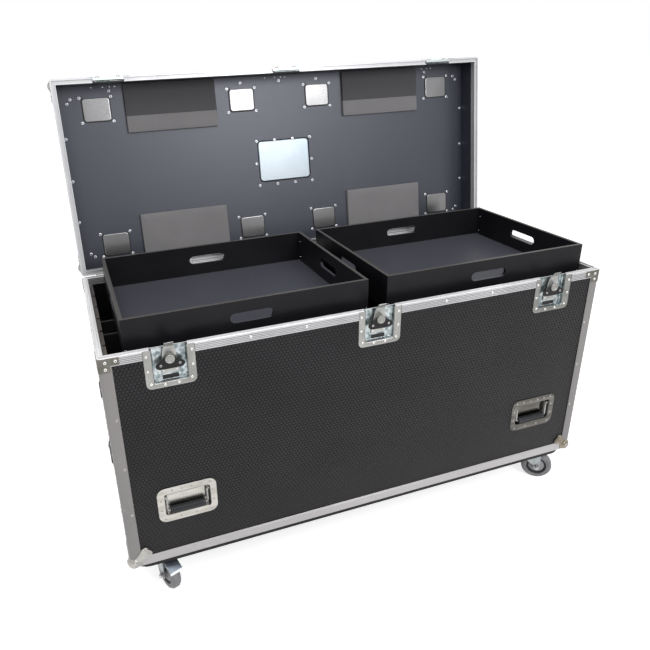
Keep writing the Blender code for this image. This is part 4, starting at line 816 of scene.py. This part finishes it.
for spot, x in LATCH_SPOTS.items():
    seat = at(FRONT_FACE, x, TOP)
    # The right latch takes a darker copy of the dish steel, as painted shade.
    steel = dish_painted_shade if spot == "right" else dish_steel
    dish = piece("latch_dish_" + spot + "_pressing", latch_dish(LATCH_DISH[1]), steel, "case",
                 ["latch_dish_" + spot], place=seat, bevel=0.0003)
    dish.data.materials.append(pan_steel)
    for face in dish.data.polygons:
        face.material_index = int((seat.inverted() @ face.center).z < PAN_EDGE)
    # A thin black plate stands for the slot under the hook plate: painted shade where the slot opens.
    bm = bmesh.new()
    rounded(bm, *LATCH_SLOT)
    bmesh.ops.solidify(bm, geom=bm.faces[:], thickness=0.0003)
    piece("latch_slot_shade_" + spot, bm, painted_shade_black, "case", place=seat)
    spots = [at(seat, sx * aside, -drop) for sx in (-1, 1) for aside, drop in LATCH_RIVETS]
    rivets("latch_rivets_" + spot, spots, "case", DISH_RIVET)

    piece("hook_" + spot + "_plate", bent_strip(HOOK_ROWS, 0.0016), hook_steel, "hook_" + spot,
          ["hook_" + spot], place=seat, bevel=0.0006)
    bm = bmesh.new()
    for stud in HOOK_STUDS:
        bmesh.ops.create_cone(bm, cap_ends=True, segments=16, radius1=0.0025, radius2=0.0018, depth=0.001,
                              matrix=Matrix.Translation(stud))
    piece("hook_studs_" + spot, bm, rivet_steel, "hook_" + spot, place=seat)

    hub = at(seat, 0, -AXIS_DROP)
    body = "wing_" + spot
    bm = plate(list(WING_HALF) + [(-a, b) for a, b in reversed(WING_HALF)], *WING_LEVELS)
    piece(body + "_lever", bm, wing_plastic, body, [body], place=hub, bevel=0.0009, segments=3)
    piece("wing_boss_" + spot, turned(BOSS, 32), dish_steel, body, place=hub, bevel=0.0003)
    spots = [at(hub, a, b, WING_LEVELS[1]) for a, b in WING_RIVETS]
    rivets("wing_rivets_" + spot, spots, body, WING_RIVET, rivet_dull)


# Spring handles. A pressed dish with a deep pan holds a sprung bail with a thick rubber grip; two are let
# into the front and two into each end, held all round by rivets.
HANDLE_DISH = (0.167, 0.1135, 0.022)
HANDLE_PAN = (0.126, 0.068, 0.017)
HANDLE_ROWS = ((0.0055, 0.0085, FLUSH), (0.0014, 0.0067, FLUSH - 0.0012), (0.0, 0.006, FLUSH - 0.003),
               (0.0, 0.006, FLUSH - 0.0145), (-0.0015, 0.0055, FLUSH - 0.0163), (-0.005, 0.004, FLUSH - 0.017))
HANDLE_RAISE = 0.003
HANDLE_RIVET = (0.0030, 0.0011)
HANDLE_RIVETS = ([(a, 0.0465) for a in (-0.066, -0.04, -0.0135, 0.0135, 0.04, 0.066)]
                 + [(a, -0.0465) for a in (-0.0655, -0.022, 0.022, 0.0655)]
                 + [(a, b) for a in (-0.0735, 0.0735) for b in (-0.015, 0.017)])
PAN_RIVETS = [(a, 0.024) for a in (-0.036, 0.0, 0.036)]
PAN_FLOOR = FLUSH - 0.0169
HANDLE_SPOTS = {
    "front_left": (FRONT_FACE, -0.582, 0.3333), "front_right": (FRONT_FACE, 0.582, 0.3333),
    "left_front": (LEFT_FACE, 0.273345, 0.4833), "left_rear": (LEFT_FACE, -0.086655, 0.4833),
    "right_front": (RIGHT_FACE, -0.273345, 0.4833), "right_rear": (RIGHT_FACE, 0.086655, 0.4833),
}
SHADE_BAND = (-0.0042, -0.0007)
PIVOT = (0.024, 0.0075)
GRIP = (0.1, 0.0105, 0.044)
GRIP_LEVEL = GRIP[1] - HANDLE_PAN[2]
GRIP_RIB = 0.0006
ROD = 0.0035
ROD_BEND = 0.006
ROD_LEG = 0.057
ROD_END = HANDLE_PAN[0] / 2 - 0.0008
SIDEWAYS = Vector((1, 0, 0))
handle_steel = satin("handle_steel", (0.46, 0.447, 0.415), (0.36, 0.347, 0.32), 0.3, stretch=(1, 1, 5), broad=12.0)
grip_rubber = satin("grip_rubber", (0.018, 0.020, 0.024), (0.010, 0.011, 0.013), 0.5, metallic=0.0, scratch=0.15,
                    gloss=0.3)
# Darker copy of the handle steel, painted shade for the front right handle.
handle_painted_shade = satin("handle_painted_shade", (0.145, 0.138, 0.127), (0.085, 0.08, 0.072), 0.28, stretch=(1, 1, 5), broad=12.0)
# Near black for painted shade along the rolled edge of the handle opening.
seam_painted_shade = satin("seam_painted_shade", (0.030, 0.029, 0.027), (0.018, 0.017, 0.016), 0.6, broad=30.0, metallic=0.0)


def bail_rod():
    """Round bar from one pivot down its leg, bent to the grip, mirrored to the other pivot."""
    bm = bmesh.new()
    ring = bmesh.ops.create_circle(bm, cap_ends=True, segments=12, radius=ROD)["verts"]
    start = Matrix.Translation((-ROD_END, PIVOT[0], -PIVOT[1])) @ QUARTER["Y"]
    bmesh.ops.transform(bm, matrix=start, verts=ring)
    leg = Vector((0, -GRIP[2], GRIP_LEVEL + PIVOT[1]))
    slope = leg.normalized()
    front = bm.faces[:][0]
    for along, run, after in ((SIDEWAYS, ROD_END - ROD_LEG - ROD_BEND, slope),
                              (slope, leg.length - 2 * ROD_BEND, SIDEWAYS)):
        front = pushed(bm, front, along * run)
        centre = front.calc_center_median() + after * ROD_BEND
        made = bmesh.ops.spin(bm, geom=[front], cent=centre, axis=along.cross(after).normalized(), dvec=(0, 0, 0),
                              angle=math.pi / 2, steps=5, use_merge=False, use_duplicate=False)["geom_last"]
        front = [item for item in made if isinstance(item, bmesh.types.BMFace)][0]
    front = pushed(bm, front, (-front.calc_center_median().x, 0, 0))
    bmesh.ops.delete(bm, geom=[front], context="FACES_ONLY")
    bmesh.ops.mirror(bm, geom=bm.verts[:] + bm.edges[:] + bm.faces[:], axis="X", merge_dist=0.0001)
    bmesh.ops.remove_doubles(bm, verts=bm.verts, dist=0.00005)
    inside = [disc for disc in bm.faces if len(disc.verts) > 4 and all(len(edge.link_faces) > 2 for edge in disc.edges)]
    bmesh.ops.delete(bm, geom=inside, context="FACES_ONLY")
    bmesh.ops.recalc_face_normals(bm, faces=bm.faces)
    return bm


def bail_grip():
    """Rubber grip turned with shallow grooves all along, laid across the bail."""
    radius, groove = GRIP[1], GRIP[1] - GRIP_RIB
    profile = [(0, -0.05), (0.0075, -0.05), (0.0098, -0.0488), (radius, -0.0465)]
    for rib in range(-8, 9):
        middle = rib * 0.005
        profile += [(radius, middle - 0.0012), (groove, middle - 0.0006), (groove, middle + 0.0006),
                    (radius, middle + 0.0012)]
    return turned(profile + [(radius, 0.0465), (0.0098, 0.0488), (0.0075, 0.05), (0, 0.05)], 24)


for spot, (face, a, b) in HANDLE_SPOTS.items():
    seat = at(face, a, b)
    bm = thicken(loft([(*HANDLE_DISH, 0, HANDLE_RAISE, FLUSH)]
                      + [(HANDLE_PAN[0] + grow, HANDLE_PAN[1] + grow, radius, 0, HANDLE_RAISE, level)
                         for grow, radius, level in HANDLE_ROWS], first=False), PRESSED)
    # The front right handle takes a darker copy of the handle steel, as painted shade.
    steel = handle_painted_shade if spot == "front_right" else handle_steel
    dish = piece("handle_dish_" + spot + "_pressing", bm, steel, "case", ["handle_dish_" + spot],
                 place=seat, bevel=0.0003)
    # A thin band on the sloped top and right faces of the rolled edge is painted near black, as painted shade along the
    # opening.
    dish.data.materials.append(seam_painted_shade)
    for side in dish.data.polygons:
        place = seat.inverted() @ side.center
        sloped = abs(side.normal.dot(seat.to_3x3() @ Vector((0, 0, 1)))) < 0.95
        upper_or_right = place.y > HANDLE_RAISE + 0.03 or place.x > 0.058
        side.material_index = int(SHADE_BAND[0] < place.z < SHADE_BAND[1] and sloped and upper_or_right)
    spots = [at(seat, a, HANDLE_RAISE + b) for a, b in HANDLE_RIVETS]
    spots += [at(seat, a, HANDLE_RAISE + b, PAN_FLOOR) for a, b in PAN_RIVETS]
    rivets("handle_rivets_" + spot, spots, "case", HANDLE_RIVET, rivet_dull)

    body = "bail_" + spot
    piece(body + "_rod", bail_rod(), dish_steel, body, [body], place=seat, smooth=50)
    lay = Matrix.Translation((0, PIVOT[0] - GRIP[2], GRIP_LEVEL)) @ QUARTER["Y"]
    piece(body + "_grip", bail_grip(), grip_rubber, body, place=seat @ lay, smooth=40)


# Casters. Four swivel casters bolted under the skid board: a plate with its ball race, a fork pressed from
# zinc plated steel, and a wheel with a grey tyre; the two on the left have a brake pedal over the wheel.
AXLE_HEIGHT = 0.0508
HALF_TREAD = 0.015
TRAIL = 0.0382
CASTER_TOP = 0.1303
CASTER_PLATE = (0.102, 0.084, 0.01)
CASTER_BOLT = (0.04, 0.031)
FORK_LEVELS = (0.02, 0.0229)
AXLE_ROD = ((0, -0.0228), (0.0052, -0.0228), (0.0052, 0.0228), (0, 0.0228))
BALL_RACE = ((0, 0.1182), (0.0265, 0.1182), (0.029, 0.12), (0.0292, 0.1238), (0.031, 0.1256), (0, 0.1256))
FORK_RACE = ((0, 0.1063), (0.03, 0.1063), (0.0305, 0.112), (0.0285, 0.1165), (0.0255, 0.1179), (0, 0.1179))
FORK_LEG = ((TRAIL - 0.006, 0.0388), (TRAIL + 0.006, 0.0388), (TRAIL + 0.0115, 0.0445), (TRAIL + 0.0115, 0.0565),
            (0.048, 0.1045), (0.048, 0.1125), (0.04, 0.1125), (0.03, 0.1076), (-0.027, 0.1076), (-0.027, 0.0956),
            (TRAIL - 0.0115, 0.0565), (TRAIL - 0.0115, 0.0445))
PEDAL = ((-0.0022, -0.0022), (0.0025, -0.0025), (0.0455, -0.0178), (0.0475, -0.0150), (0.0460, -0.0138),
         (0.0025, 0.0016), (0.0018, 0.0025), (-0.0022, 0.0022))
PEDAL_HINGE = (0.044, 0, 0.1085)
PEDAL_LIP = ((0.0460, -0.0215), (0.0488, -0.0215), (0.0488, -0.0115), (0.0460, -0.0115))
CASTER_SPOTS = {
    "left_front": (-0.6673, -0.311945, -1.2357), "left_rear": (-0.6673, 0.125255, -1.2357),
    "right_front": (0.6673, -0.311945, -0.6772), "right_rear": (0.6673, 0.125255, -0.6772),
}
caster_steel = satin("caster_steel", (0.33, 0.355, 0.36), (0.23, 0.25, 0.255), 0.34, broad=60.0, metallic=0.8)
lip_steel = satin("lip_steel", (0.86, 0.88, 0.90), (0.74, 0.76, 0.79), 0.32, broad=50.0, metallic=0.5)
pedal_steel = satin("pedal_steel", (0.30, 0.34, 0.40), (0.20, 0.24, 0.29), 0.25, broad=50.0)
tyre_rubber = satin("tyre_rubber", (0.24, 0.235, 0.245), (0.18, 0.175, 0.185), 0.6, broad=30.0, metallic=0.0)
hub_plastic = satin("hub_plastic", (0.30, 0.30, 0.315), (0.22, 0.22, 0.235), 0.45, broad=30.0, metallic=0.0)
rim_plastic = satin("rim_plastic", (0.055, 0.054, 0.058), (0.038, 0.037, 0.041), 0.5, broad=30.0, metallic=0.0)
WHEEL_PARTS = (
    ("tyre", tyre_rubber, "tyre", 56, (
        (0.0335, -0.0015), (0.0345, 0.0), (0.0395, 0.0), (0.0402, -0.0006), (0.0410, 0.0), (0.0446, -0.0002),
        (0.0452, -0.0006), (0.0502, -0.0062), (0.0508, -0.0072))),
    ("hub", hub_plastic, "plastic", 48, (
        (0.0054, 0.0025), (0.0125, 0.0025), (0.0132, 0.0018), (0.0136, -0.0035), (0.0155, -0.0045),
        (0.0255, -0.0045), (0.0262, -0.0052))),
    ("rim", rim_plastic, "plastic", 48, ((0.0258, -0.0085), (0.0285, -0.0085), (0.0325, -0.0006), (0.0336, -0.001))),
)

for spot, (x, y, turn) in CASTER_SPOTS.items():
    bm = loft([(*CASTER_PLATE, x, y, CASTER_TOP - 0.0048), (*CASTER_PLATE, x, y, CASTER_TOP - 0.0003)])
    join(bm, turned(BALL_RACE, 40), Matrix.Translation((x, y, 0)))
    piece("caster_plate_" + spot + "_steel", bm, caster_steel, "case", ["caster_plate_" + spot], bevel=0.0006)
    bm = bmesh.new()
    for sx in (-1, 1):
        for sy in (-1, 1):
            bmesh.ops.create_cone(bm, cap_ends=True, segments=6, radius1=0.0055, radius2=0.0062, depth=0.004,
                                  matrix=Matrix.Translation((x + sx * CASTER_BOLT[0], y + sy * CASTER_BOLT[1],
                                                             CASTER_TOP - 0.0068)))
    piece("caster_bolts_" + spot, bm, rivet_steel, "case", bevel=0.0005)

    swivel = Matrix.Translation((x, y, 0)) @ Matrix.Rotation(turn, 4, "Z")
    fork = "fork_" + spot
    bm = turned(FORK_RACE, 40)
    legs = plate(FORK_LEG, *(-level for level in FORK_LEVELS))
    join(legs, plate(FORK_LEG, *FORK_LEVELS))
    crown = bmesh.ops.create_cube(legs, size=1)["verts"]
    bmesh.ops.scale(legs, vec=(0.057, 0.0028, 0.0455), verts=crown)
    bmesh.ops.translate(legs, vec=(0.0015, 0.1061, 0), verts=crown)
    join(bm, legs, QUARTER["X"])
    piece(fork + "_steel", bm, caster_steel, fork, [fork], place=swivel, bevel=0.0007)
    bm = turned(AXLE_ROD, 16)
    for sign in (-1, 1):
        bmesh.ops.create_cone(bm, cap_ends=True, segments=6, radius1=0.0088, radius2=0.0088, depth=0.0062,
                              matrix=Matrix.Translation((0, 0, sign * 0.026)))
        bmesh.ops.create_cone(bm, cap_ends=True, segments=20, radius1=0.0048, radius2=0.0042, depth=0.005,
                              matrix=Matrix.Translation((0, 0, sign * 0.0305)))
    axle = swivel @ Matrix.Translation((TRAIL, 0, AXLE_HEIGHT)) @ QUARTER["X"]
    piece("axle_" + spot, bm, rivet_dull, fork, place=axle, bevel=0.0005)

    wheel = "wheel_" + spot
    for part, stuff, slot, steps, outline in WHEEL_PARTS:
        side = [(radius, HALF_TREAD + out) for radius, out in outline]
        bm = turned(side + [(radius, -height) for radius, height in reversed(side)], steps, closed=True)
        piece(wheel + "_" + part, bm, stuff, wheel, [wheel] * (part == "tyre"), place=axle, smooth=28)

    if spot.startswith("left"):
        hinge = swivel @ Matrix.Translation(PEDAL_HINGE) @ QUARTER["X"]
        pedal = "pedal_" + spot
        piece(pedal + "_steel", plate(PEDAL, -0.0196, 0.0196), pedal_steel, pedal, [pedal], place=hinge,
              bevel=0.0005)
        bm = plate(PEDAL_LIP, -0.0205, 0.0205)
        for rib in range(-3, 4):
            ridge = bmesh.ops.create_cube(bm, size=1)["verts"]
            bmesh.ops.scale(bm, vec=(0.0014, 0.0075, 0.0026), verts=ridge)
            bmesh.ops.translate(bm, vec=(0.0492, -0.0165, rib * 0.0054), verts=ridge)
        piece("pedal_lip_" + spot, bm, lip_steel, pedal, place=hinge, bevel=0.0004)


# Lid. A shallow board box in the same aluminium and ball corners, leaning back on its hinge. It is faced with
# the laminate outside and lined with smooth dark grey board, and its rim rail has a groove for the tongue of
# the body's rail.
LEAN = 0.1466
PIN = Vector((0, 0.214455, 0.8151))
UP = Vector((0, math.sin(LEAN), math.cos(LEAN)))
AWAY = Vector((0, math.cos(LEAN), -math.sin(LEAN)))
WALL_INSIDE = SIDE - 0.0104
LINING = 0.0867
LID_HIGH = 0.1005
LID_NEAR = 0.003
LID_FAR = LID_NEAR + DEPTH
LID_MIDDLE = LID_NEAR + DEPTH / 2
LID_RIM = -0.0006
LID_SHEET = -0.0065
LID = plane(PIN, SIDEWAYS, UP)
LID_INSIDE = plane(PIN + AWAY * LINING, SIDEWAYS, UP)
LID_OUTSIDE = plane(PIN + AWAY * LID_HIGH, -SIDEWAYS, UP)
LID_TOP_SIDE = plane(PIN + UP * LID_FAR, -SIDEWAYS, -AWAY)
INTO_LID = LID @ Matrix.Translation((0, LID_MIDDLE - MIDDLE, 0))


def along_lid(tree, spot, line):
    """Distance of a place from the hinge pin along the height or the depth of the lid."""
    return vector_sums(tree, "DOT_PRODUCT", vector_sums(tree, "SUBTRACT", spot, tuple(PIN)), tuple(line), result=1)


def lid_board(name, walls):
    """Laminate outside and smooth dark lining inside, told apart by the place on the lid."""
    material, tree, shader = new_material(name, 0.4, gloss=0.85)
    shader.inputs["Specular Tint"].default_value = (0.88, 0.9, 1.0, 1)
    spot = add_node(tree, "ShaderNodeTexCoord").outputs["Object"]
    outside = sums(tree, "GREATER_THAN", along_lid(tree, spot, AWAY), (LINING + LID_HIGH) / 2)
    if walls:
        rise = sums(tree, "ABSOLUTE", sums(tree, "SUBTRACT", along_lid(tree, spot, UP), LID_MIDDLE))
        reach = sums(tree, "ABSOLUTE", add_node(tree, "ShaderNodeSeparateXYZ", {0: spot}).outputs[0])
        outside = sums(tree, "MAXIMUM", sums(tree, "GREATER_THAN", rise, DEPTH / 2 - 0.008),
                       sums(tree, "GREATER_THAN", reach, SIDE - 0.008))
    turn = FACE_TURNS["side"] if walls else (LEAN - math.pi / 2, 0.0, 0.0)
    colour, metal, rough, height = laminate_sockets(tree, turn)
    marks = marks_on(tree, spot, 2.2, 420.0)
    lining = mixed(tree, marks["Broad"], (0.011, 0.013, 0.021), (0.017, 0.019, 0.028))
    lining_rough = sums(tree, "MULTIPLY_ADD", marks["Fine"], 0.2, 0.32)
    rough, height = (add_node(tree, "ShaderNodeMix", {0: outside, 2: one, 3: two}, data_type="FLOAT").outputs[0]
                     for one, two in ((lining_rough, rough), (marks["Fine"], height)))
    feed(shader, {"Base Color": mixed(tree, outside, lining, colour), "Roughness": rough,
                  "Metallic": sums(tree, "MULTIPLY", outside, metal)})
    bump(shader, height, 0.0002)
    return material


dress("lid_panel", lid_board("lid_panel_faces", False))
dress("lid_walls", lid_board("lid_wall_faces", True))

bm = edge_ring([(0.0, -TOP_RAIL)] + ribbed_face(-TOP_RAIL) + [
    (0.0, LID_RIM - 0.0008), (0.0008, LID_RIM), (0.0047, LID_RIM), (0.0047, -0.005), (INNER_RAIL[0], -0.005),
    (INNER_RAIL[0], LID_RIM), (INNER_RAIL[1], LID_RIM),
] + ribbed_inside(LID_RIM) + [
    (INNER_RAIL[1], -INNER_RAIL[2]), (INNER_RAIL[0], -INNER_RAIL[2]), (INNER_RAIL[0], LID_SHEET),
    (RAIL_SHEET, LID_SHEET), (RAIL_SHEET, -TOP_RAIL),
])
far = MIDDLE + DEPTH / 2
bm = carve(bm, notches((far - 0.00188, far + 0.02, -0.04, 0.01), (far - 0.018, far + 0.02, -0.03, 0.02)))
lid_rim_rail = piece("lid_rim_rail", bm, rail_aluminium, "lid", ["lid_frame"], place=INTO_LID, smooth=30)
# Lighter copy of the rail aluminium for a painted highlight on the flat rim of the lid.
lid_rim_painted_highlight = satin("lid_rim_painted_highlight", (0.62, 0.635, 0.655), (0.54, 0.555, 0.575), 0.42, metallic=0.3)
paint_rail_shade_and_highlight(lid_rim_rail, Matrix.Translation((0, -LID_MIDDLE, 0)) @ LID.inverted(), LID_RIM, lid_rim_painted_highlight)
piece("lid_top_rail", edge_ring(plain_rail(-LID_HIGH)), post_aluminium, "lid", place=INTO_LID, smooth=30)
for corner, sides in CORNERS.items():
    bm = corner_angle(POST, BOTTOM_RAIL + POST_GAP - LID_HIGH, -TOP_RAIL - POST_GAP, SHEET, *sides)
    piece("lid_post_" + corner, bm, post_aluminium, "lid", place=INTO_LID, bevel=0.0003)
    ball_corner(corner, *sides, -LID_HIGH, INTO_LID, "lid", "lid_")


# Lid fittings. Eight pressed steel cups for the casters of a case stacked on top, a shallow bare plate dish
# and three keepers for the latches, all held by rivets, and four foam pads glued inside.
CUP = (0.0855, 0.0715)
CUP_DROP = 0.0055
CUP_GAP = (0.0921, 0.0781, 0.012)
CUP_ROWS = ((0.0014, 0.0095, 0.0002), (0.0014, 0.0095, 0.0020), (0.0002, 0.0090, 0.0030), (-0.0016, 0.0084, 0.0034),
            (-0.0044, 0.0072, 0.0035), (-0.0054, 0.0068, 0.0035))
RECESS_ROWS = ((0.112, 0.012, FLUSH), (0.076, 0.012, FLUSH), (0.0725, 0.0105, -0.0008), (0.07, 0.0095, -0.0025),
               (0.069, 0.009, -0.0095), (0.066, 0.008, -0.0115))
CUP_RINGS = [(x, rise) for x in (-0.6305, -0.1407, 0.1407, 0.6305) for rise in (0.0877, 0.5279)]
LID_PRESSED = 0.0011
PLATE_ROWS = ((0.231, 0.18, 0.02, -0.0124), (0.1955, 0.1445, 0.0145, -0.0124), (0.1915, 0.1405, 0.0123, -0.0112),
              (0.191, 0.14, 0.012, -0.003), (0.1895, 0.1385, 0.0113, -0.0008), (0.185, 0.134, 0.009, 0.0))
LINING_RIVET = (0.0056, 0.0017)
PLATE_RIVETS = (-0.1, -0.032, 0.0365, 0.1035)
END_RIVETS = (0.168, 0.3028, 0.4375)
BACK_RIVETS = ((0.7085, 0.558), (0.72, 0.5452), (0.72, 0.0585), (0.7075, 0.0475))
WALL_RIVETS = ((0.0432, 0.555), (0.0531, 0.5446), (0.0427, 0.06), (0.0525, 0.07))
TOP_LINE = 0.591
OUTSIDE_RIVET = (0.0044, 0.0012)
EDGE_RIVET = (0.0028, 0.001)
KEEPER_RIVET = (0.0034, 0.0012)
KEEPER_HEIGHT = 0.068
KEEPER_RIVETS = ((-0.0575, -0.02), (-0.0575, -0.05), (0.0575, -0.02), (0.0575, -0.05), (-0.024, -0.057),
                 (0.024, -0.057))
KEEPER_STUDS = ((-0.0312, -0.0095, -0.0022), (0.0312, -0.0095, -0.0022))
KEEPER_STUD = ((0.0, -0.0122), (0.0042, -0.0122), (0.0042, -0.0008), (0.0068, 0.0002), (0.0066, 0.002),
               (0.0048, 0.0042), (0.0026, 0.005), (0.0, 0.005))
PAD = (0.305, 0.1524)
PAD_DARKER_ABOVE = 0.495
PAD_ROWS = ((0.0, 0.003, 0.0003), (0.0, 0.003, 0.0105), (0.0012, 0.0026, 0.0116), (0.004, 0.002, 0.0121),
            (0.05, 0.002, 0.0124), (0.11, 0.002, 0.0125))
PADS = {"lower_left": (-0.387096, 0.0964), "upper_left": (-0.387096, 0.5192),
        "lower_right": (0.390144, 0.0964), "upper_right": (0.390144, 0.5192)}
rivet_pale = satin("rivet_pale", (0.64, 0.65, 0.68), (0.50, 0.51, 0.54), 0.34, broad=80.0, metallic=0.8)
cup_steel = satin("cup_steel", (0.25, 0.248, 0.254), (0.20, 0.198, 0.202), 0.3, spread=0.06, broad=8.0, scratch=0.1)
plate_steel = satin("plate_steel", (0.355, 0.395, 0.43), (0.30, 0.345, 0.385), 0.32, spread=0.06, broad=5.0,
                    scratch=0.1)
bar_steel = satin("bar_steel", (0.52, 0.58, 0.58), (0.44, 0.50, 0.50), 0.4, broad=30.0, metallic=0.7)

cups, gaps, recesses = bmesh.new(), bmesh.new(), bmesh.new()
spots, back_spots = [], []
for x, rise in CUP_RINGS:
    seat = rise - CUP_DROP
    join(cups, loft([(CUP[0] + grow, CUP[1] + grow, radius, x, seat, height) for grow, radius, height in CUP_ROWS]))
    join(gaps, loft([(*CUP_GAP, x, seat, 0.0001), (*CUP_GAP, x, seat, 0.0005)]))
    join(recesses, thicken(loft([(size, size, radius, -x, rise, height) for size, radius, height in RECESS_ROWS],
                                first=False), LID_PRESSED))
    for sx in (-1, 1):
        for sy in (-1, 1):
            spots.append(at(LID_INSIDE, x + sx * 0.0498, seat + sy * 0.0385))
            back_spots.append(at(LID_OUTSIDE, -x + sx * 0.0455, rise + sy * 0.0455))
    if rise > LID_MIDDLE:
        spots.append(at(LID_INSIDE, x if abs(x) < 0.3 else x - math.copysign(0.046, x), rise + 0.0505))
piece("cups", cups, cup_steel, "lid", place=LID_INSIDE, smooth=40)
# Black sheets just wider than the cups, as painted shade in the gaps round them.
piece("cup_gap_shades", gaps, painted_shade_black, "lid", place=LID_INSIDE, smooth=40)
piece("cup_recesses", recesses, cup_steel, "lid", place=LID_OUTSIDE, bevel=0.0003)

bm = loft([(width, height, radius, 0, LID_MIDDLE, level) for width, height, radius, level in PLATE_ROWS], first=False)
piece("plate_dish", thicken(bm, LID_PRESSED), plate_steel, "lid", ["label_dish"], place=LID_INSIDE,
      bevel=0.0002)
for sy in (-1, 1):
    for c in PLATE_RIVETS:
        spots.append(at(LID_INSIDE, c, LID_MIDDLE - CUP_DROP + sy * 0.0775))
        back_spots.append(at(LID_OUTSIDE, c, LID_MIDDLE + sy * 0.0795))
for sx in (-1, 1):
    wall = plane(PIN + SIDEWAYS * sx * WALL_INSIDE, AWAY * sx, UP)
    spots.append(at(LID_INSIDE, sx * 0.106, LID_MIDDLE - CUP_DROP))
    for rise in END_RIVETS:
        spots += [at(LID_INSIDE, sx * 0.7405, rise), at(wall, sx * 0.072, rise)]
    spots += [at(LID_INSIDE, sx * c, rise) for c, rise in BACK_RIVETS]
    spots += [at(wall, sx * c, rise) for c, rise in WALL_RIVETS]
    back_spots.append(at(LID_OUTSIDE, sx * 0.1065, LID_MIDDLE))
spots.append(at(LID_INSIDE, 0.0, TOP_LINE - 0.012))
rivets("lid_inside_rivets", spots, "lid", LINING_RIVET, rivet_pale)
spots = [at(LID_INSIDE, x + c, TOP_LINE) for x in LATCH_SPOTS.values() for c in (-0.05, -0.014, 0.008, 0.024)]
spots += [at(LID_INSIDE, x, TOP_LINE) for x in (-0.4349, -0.29, 0.29, 0.4484)]
rivets("lid_edge_rivets", spots, "lid", EDGE_RIVET)
rivets("lid_outside_rivets", back_spots, "lid", OUTSIDE_RIVET)


def bar(half, high, low, back, front):
    """Flat bar across a keeper, between two heights and two levels."""
    return plate([(-half, high), (half, high), (half, low), (-half, low)], back, front)


for spot, x in LATCH_SPOTS.items():
    seat = at(LID_TOP_SIDE, -x, 0)
    piece("keeper_" + spot + "_pressing", latch_dish(KEEPER_HEIGHT), pan_steel, "lid", ["keeper_" + spot],
          place=seat, bevel=0.0003)
    rivets("keeper_rivets_" + spot, [at(seat, a, b) for a, b in KEEPER_RIVETS], "lid", KEEPER_RIVET)
    studs = bmesh.new()
    for stud in KEEPER_STUDS:
        join(studs, turned(KEEPER_STUD, 20), at(seat, *stud))
    piece("keeper_studs_" + spot, studs, rivet_dull, "lid", smooth=50)
    bm = bar(0.0475, -0.0002, -0.019, -0.0034, -0.0022)
    join(bm, bar(0.0474, -0.0003, -0.0014, -0.0095, -0.003))
    piece("keeper_bar_" + spot, bm, bar_steel, "lid", place=seat)
    # A black plate behind the bar is painted shade down in the keeper's pan.
    bm = bar(0.0475, -0.0018, -0.003, -0.0178, -0.0095)
    piece("keeper_shade_" + spot, bm, painted_shade_black, "lid", place=seat)

foam, tree, shader = new_material("pad_foam", 0.9)
spot = add_node(tree, "ShaderNodeTexCoord").outputs["Object"]
marks = marks_on(tree, spot, 12.0, 700.0)
colour = mixed(tree, marks["Broad"], (0.114, 0.109, 0.112), (0.137, 0.132, 0.136))
colour = mixed(tree, marks["Fine"], colour, (0.20, 0.195, 0.2))
# The pads are coloured darker above a height on the lid.
dark_part = smooth_range(tree, along_lid(tree, spot, UP), PAD_DARKER_ABOVE - 0.0005, PAD_DARKER_ABOVE + 0.0005)
feed(shader, {"Base Color": mixed(tree, dark_part, colour, (0.058, 0.056, 0.060))})
bump(shader, marks["Fine"], 0.0003)
for spot, (x, rise) in PADS.items():
    bm = loft([(PAD[0] - grow, PAD[1] - grow, radius, x, rise, height) for grow, radius, height in PAD_ROWS])
    pad = piece("pad_" + spot, bm, foam, "lid", ["foam_pad_" + spot], place=LID_INSIDE, smooth=40)


# Hinge. A steel leaf along the body and one along the lid, rolled round one pin in seven knuckles.
# The leaves and the pin are the imported ones, and the leaves only take their zinc finish here.
hinge_steel = satin("hinge_steel", (0.50, 0.49, 0.47), (0.38, 0.37, 0.36), 0.36, broad=30.0)
for name in ("hinge_leaf_body", "hinge_leaf_lid"):
    dress(name, hinge_steel)
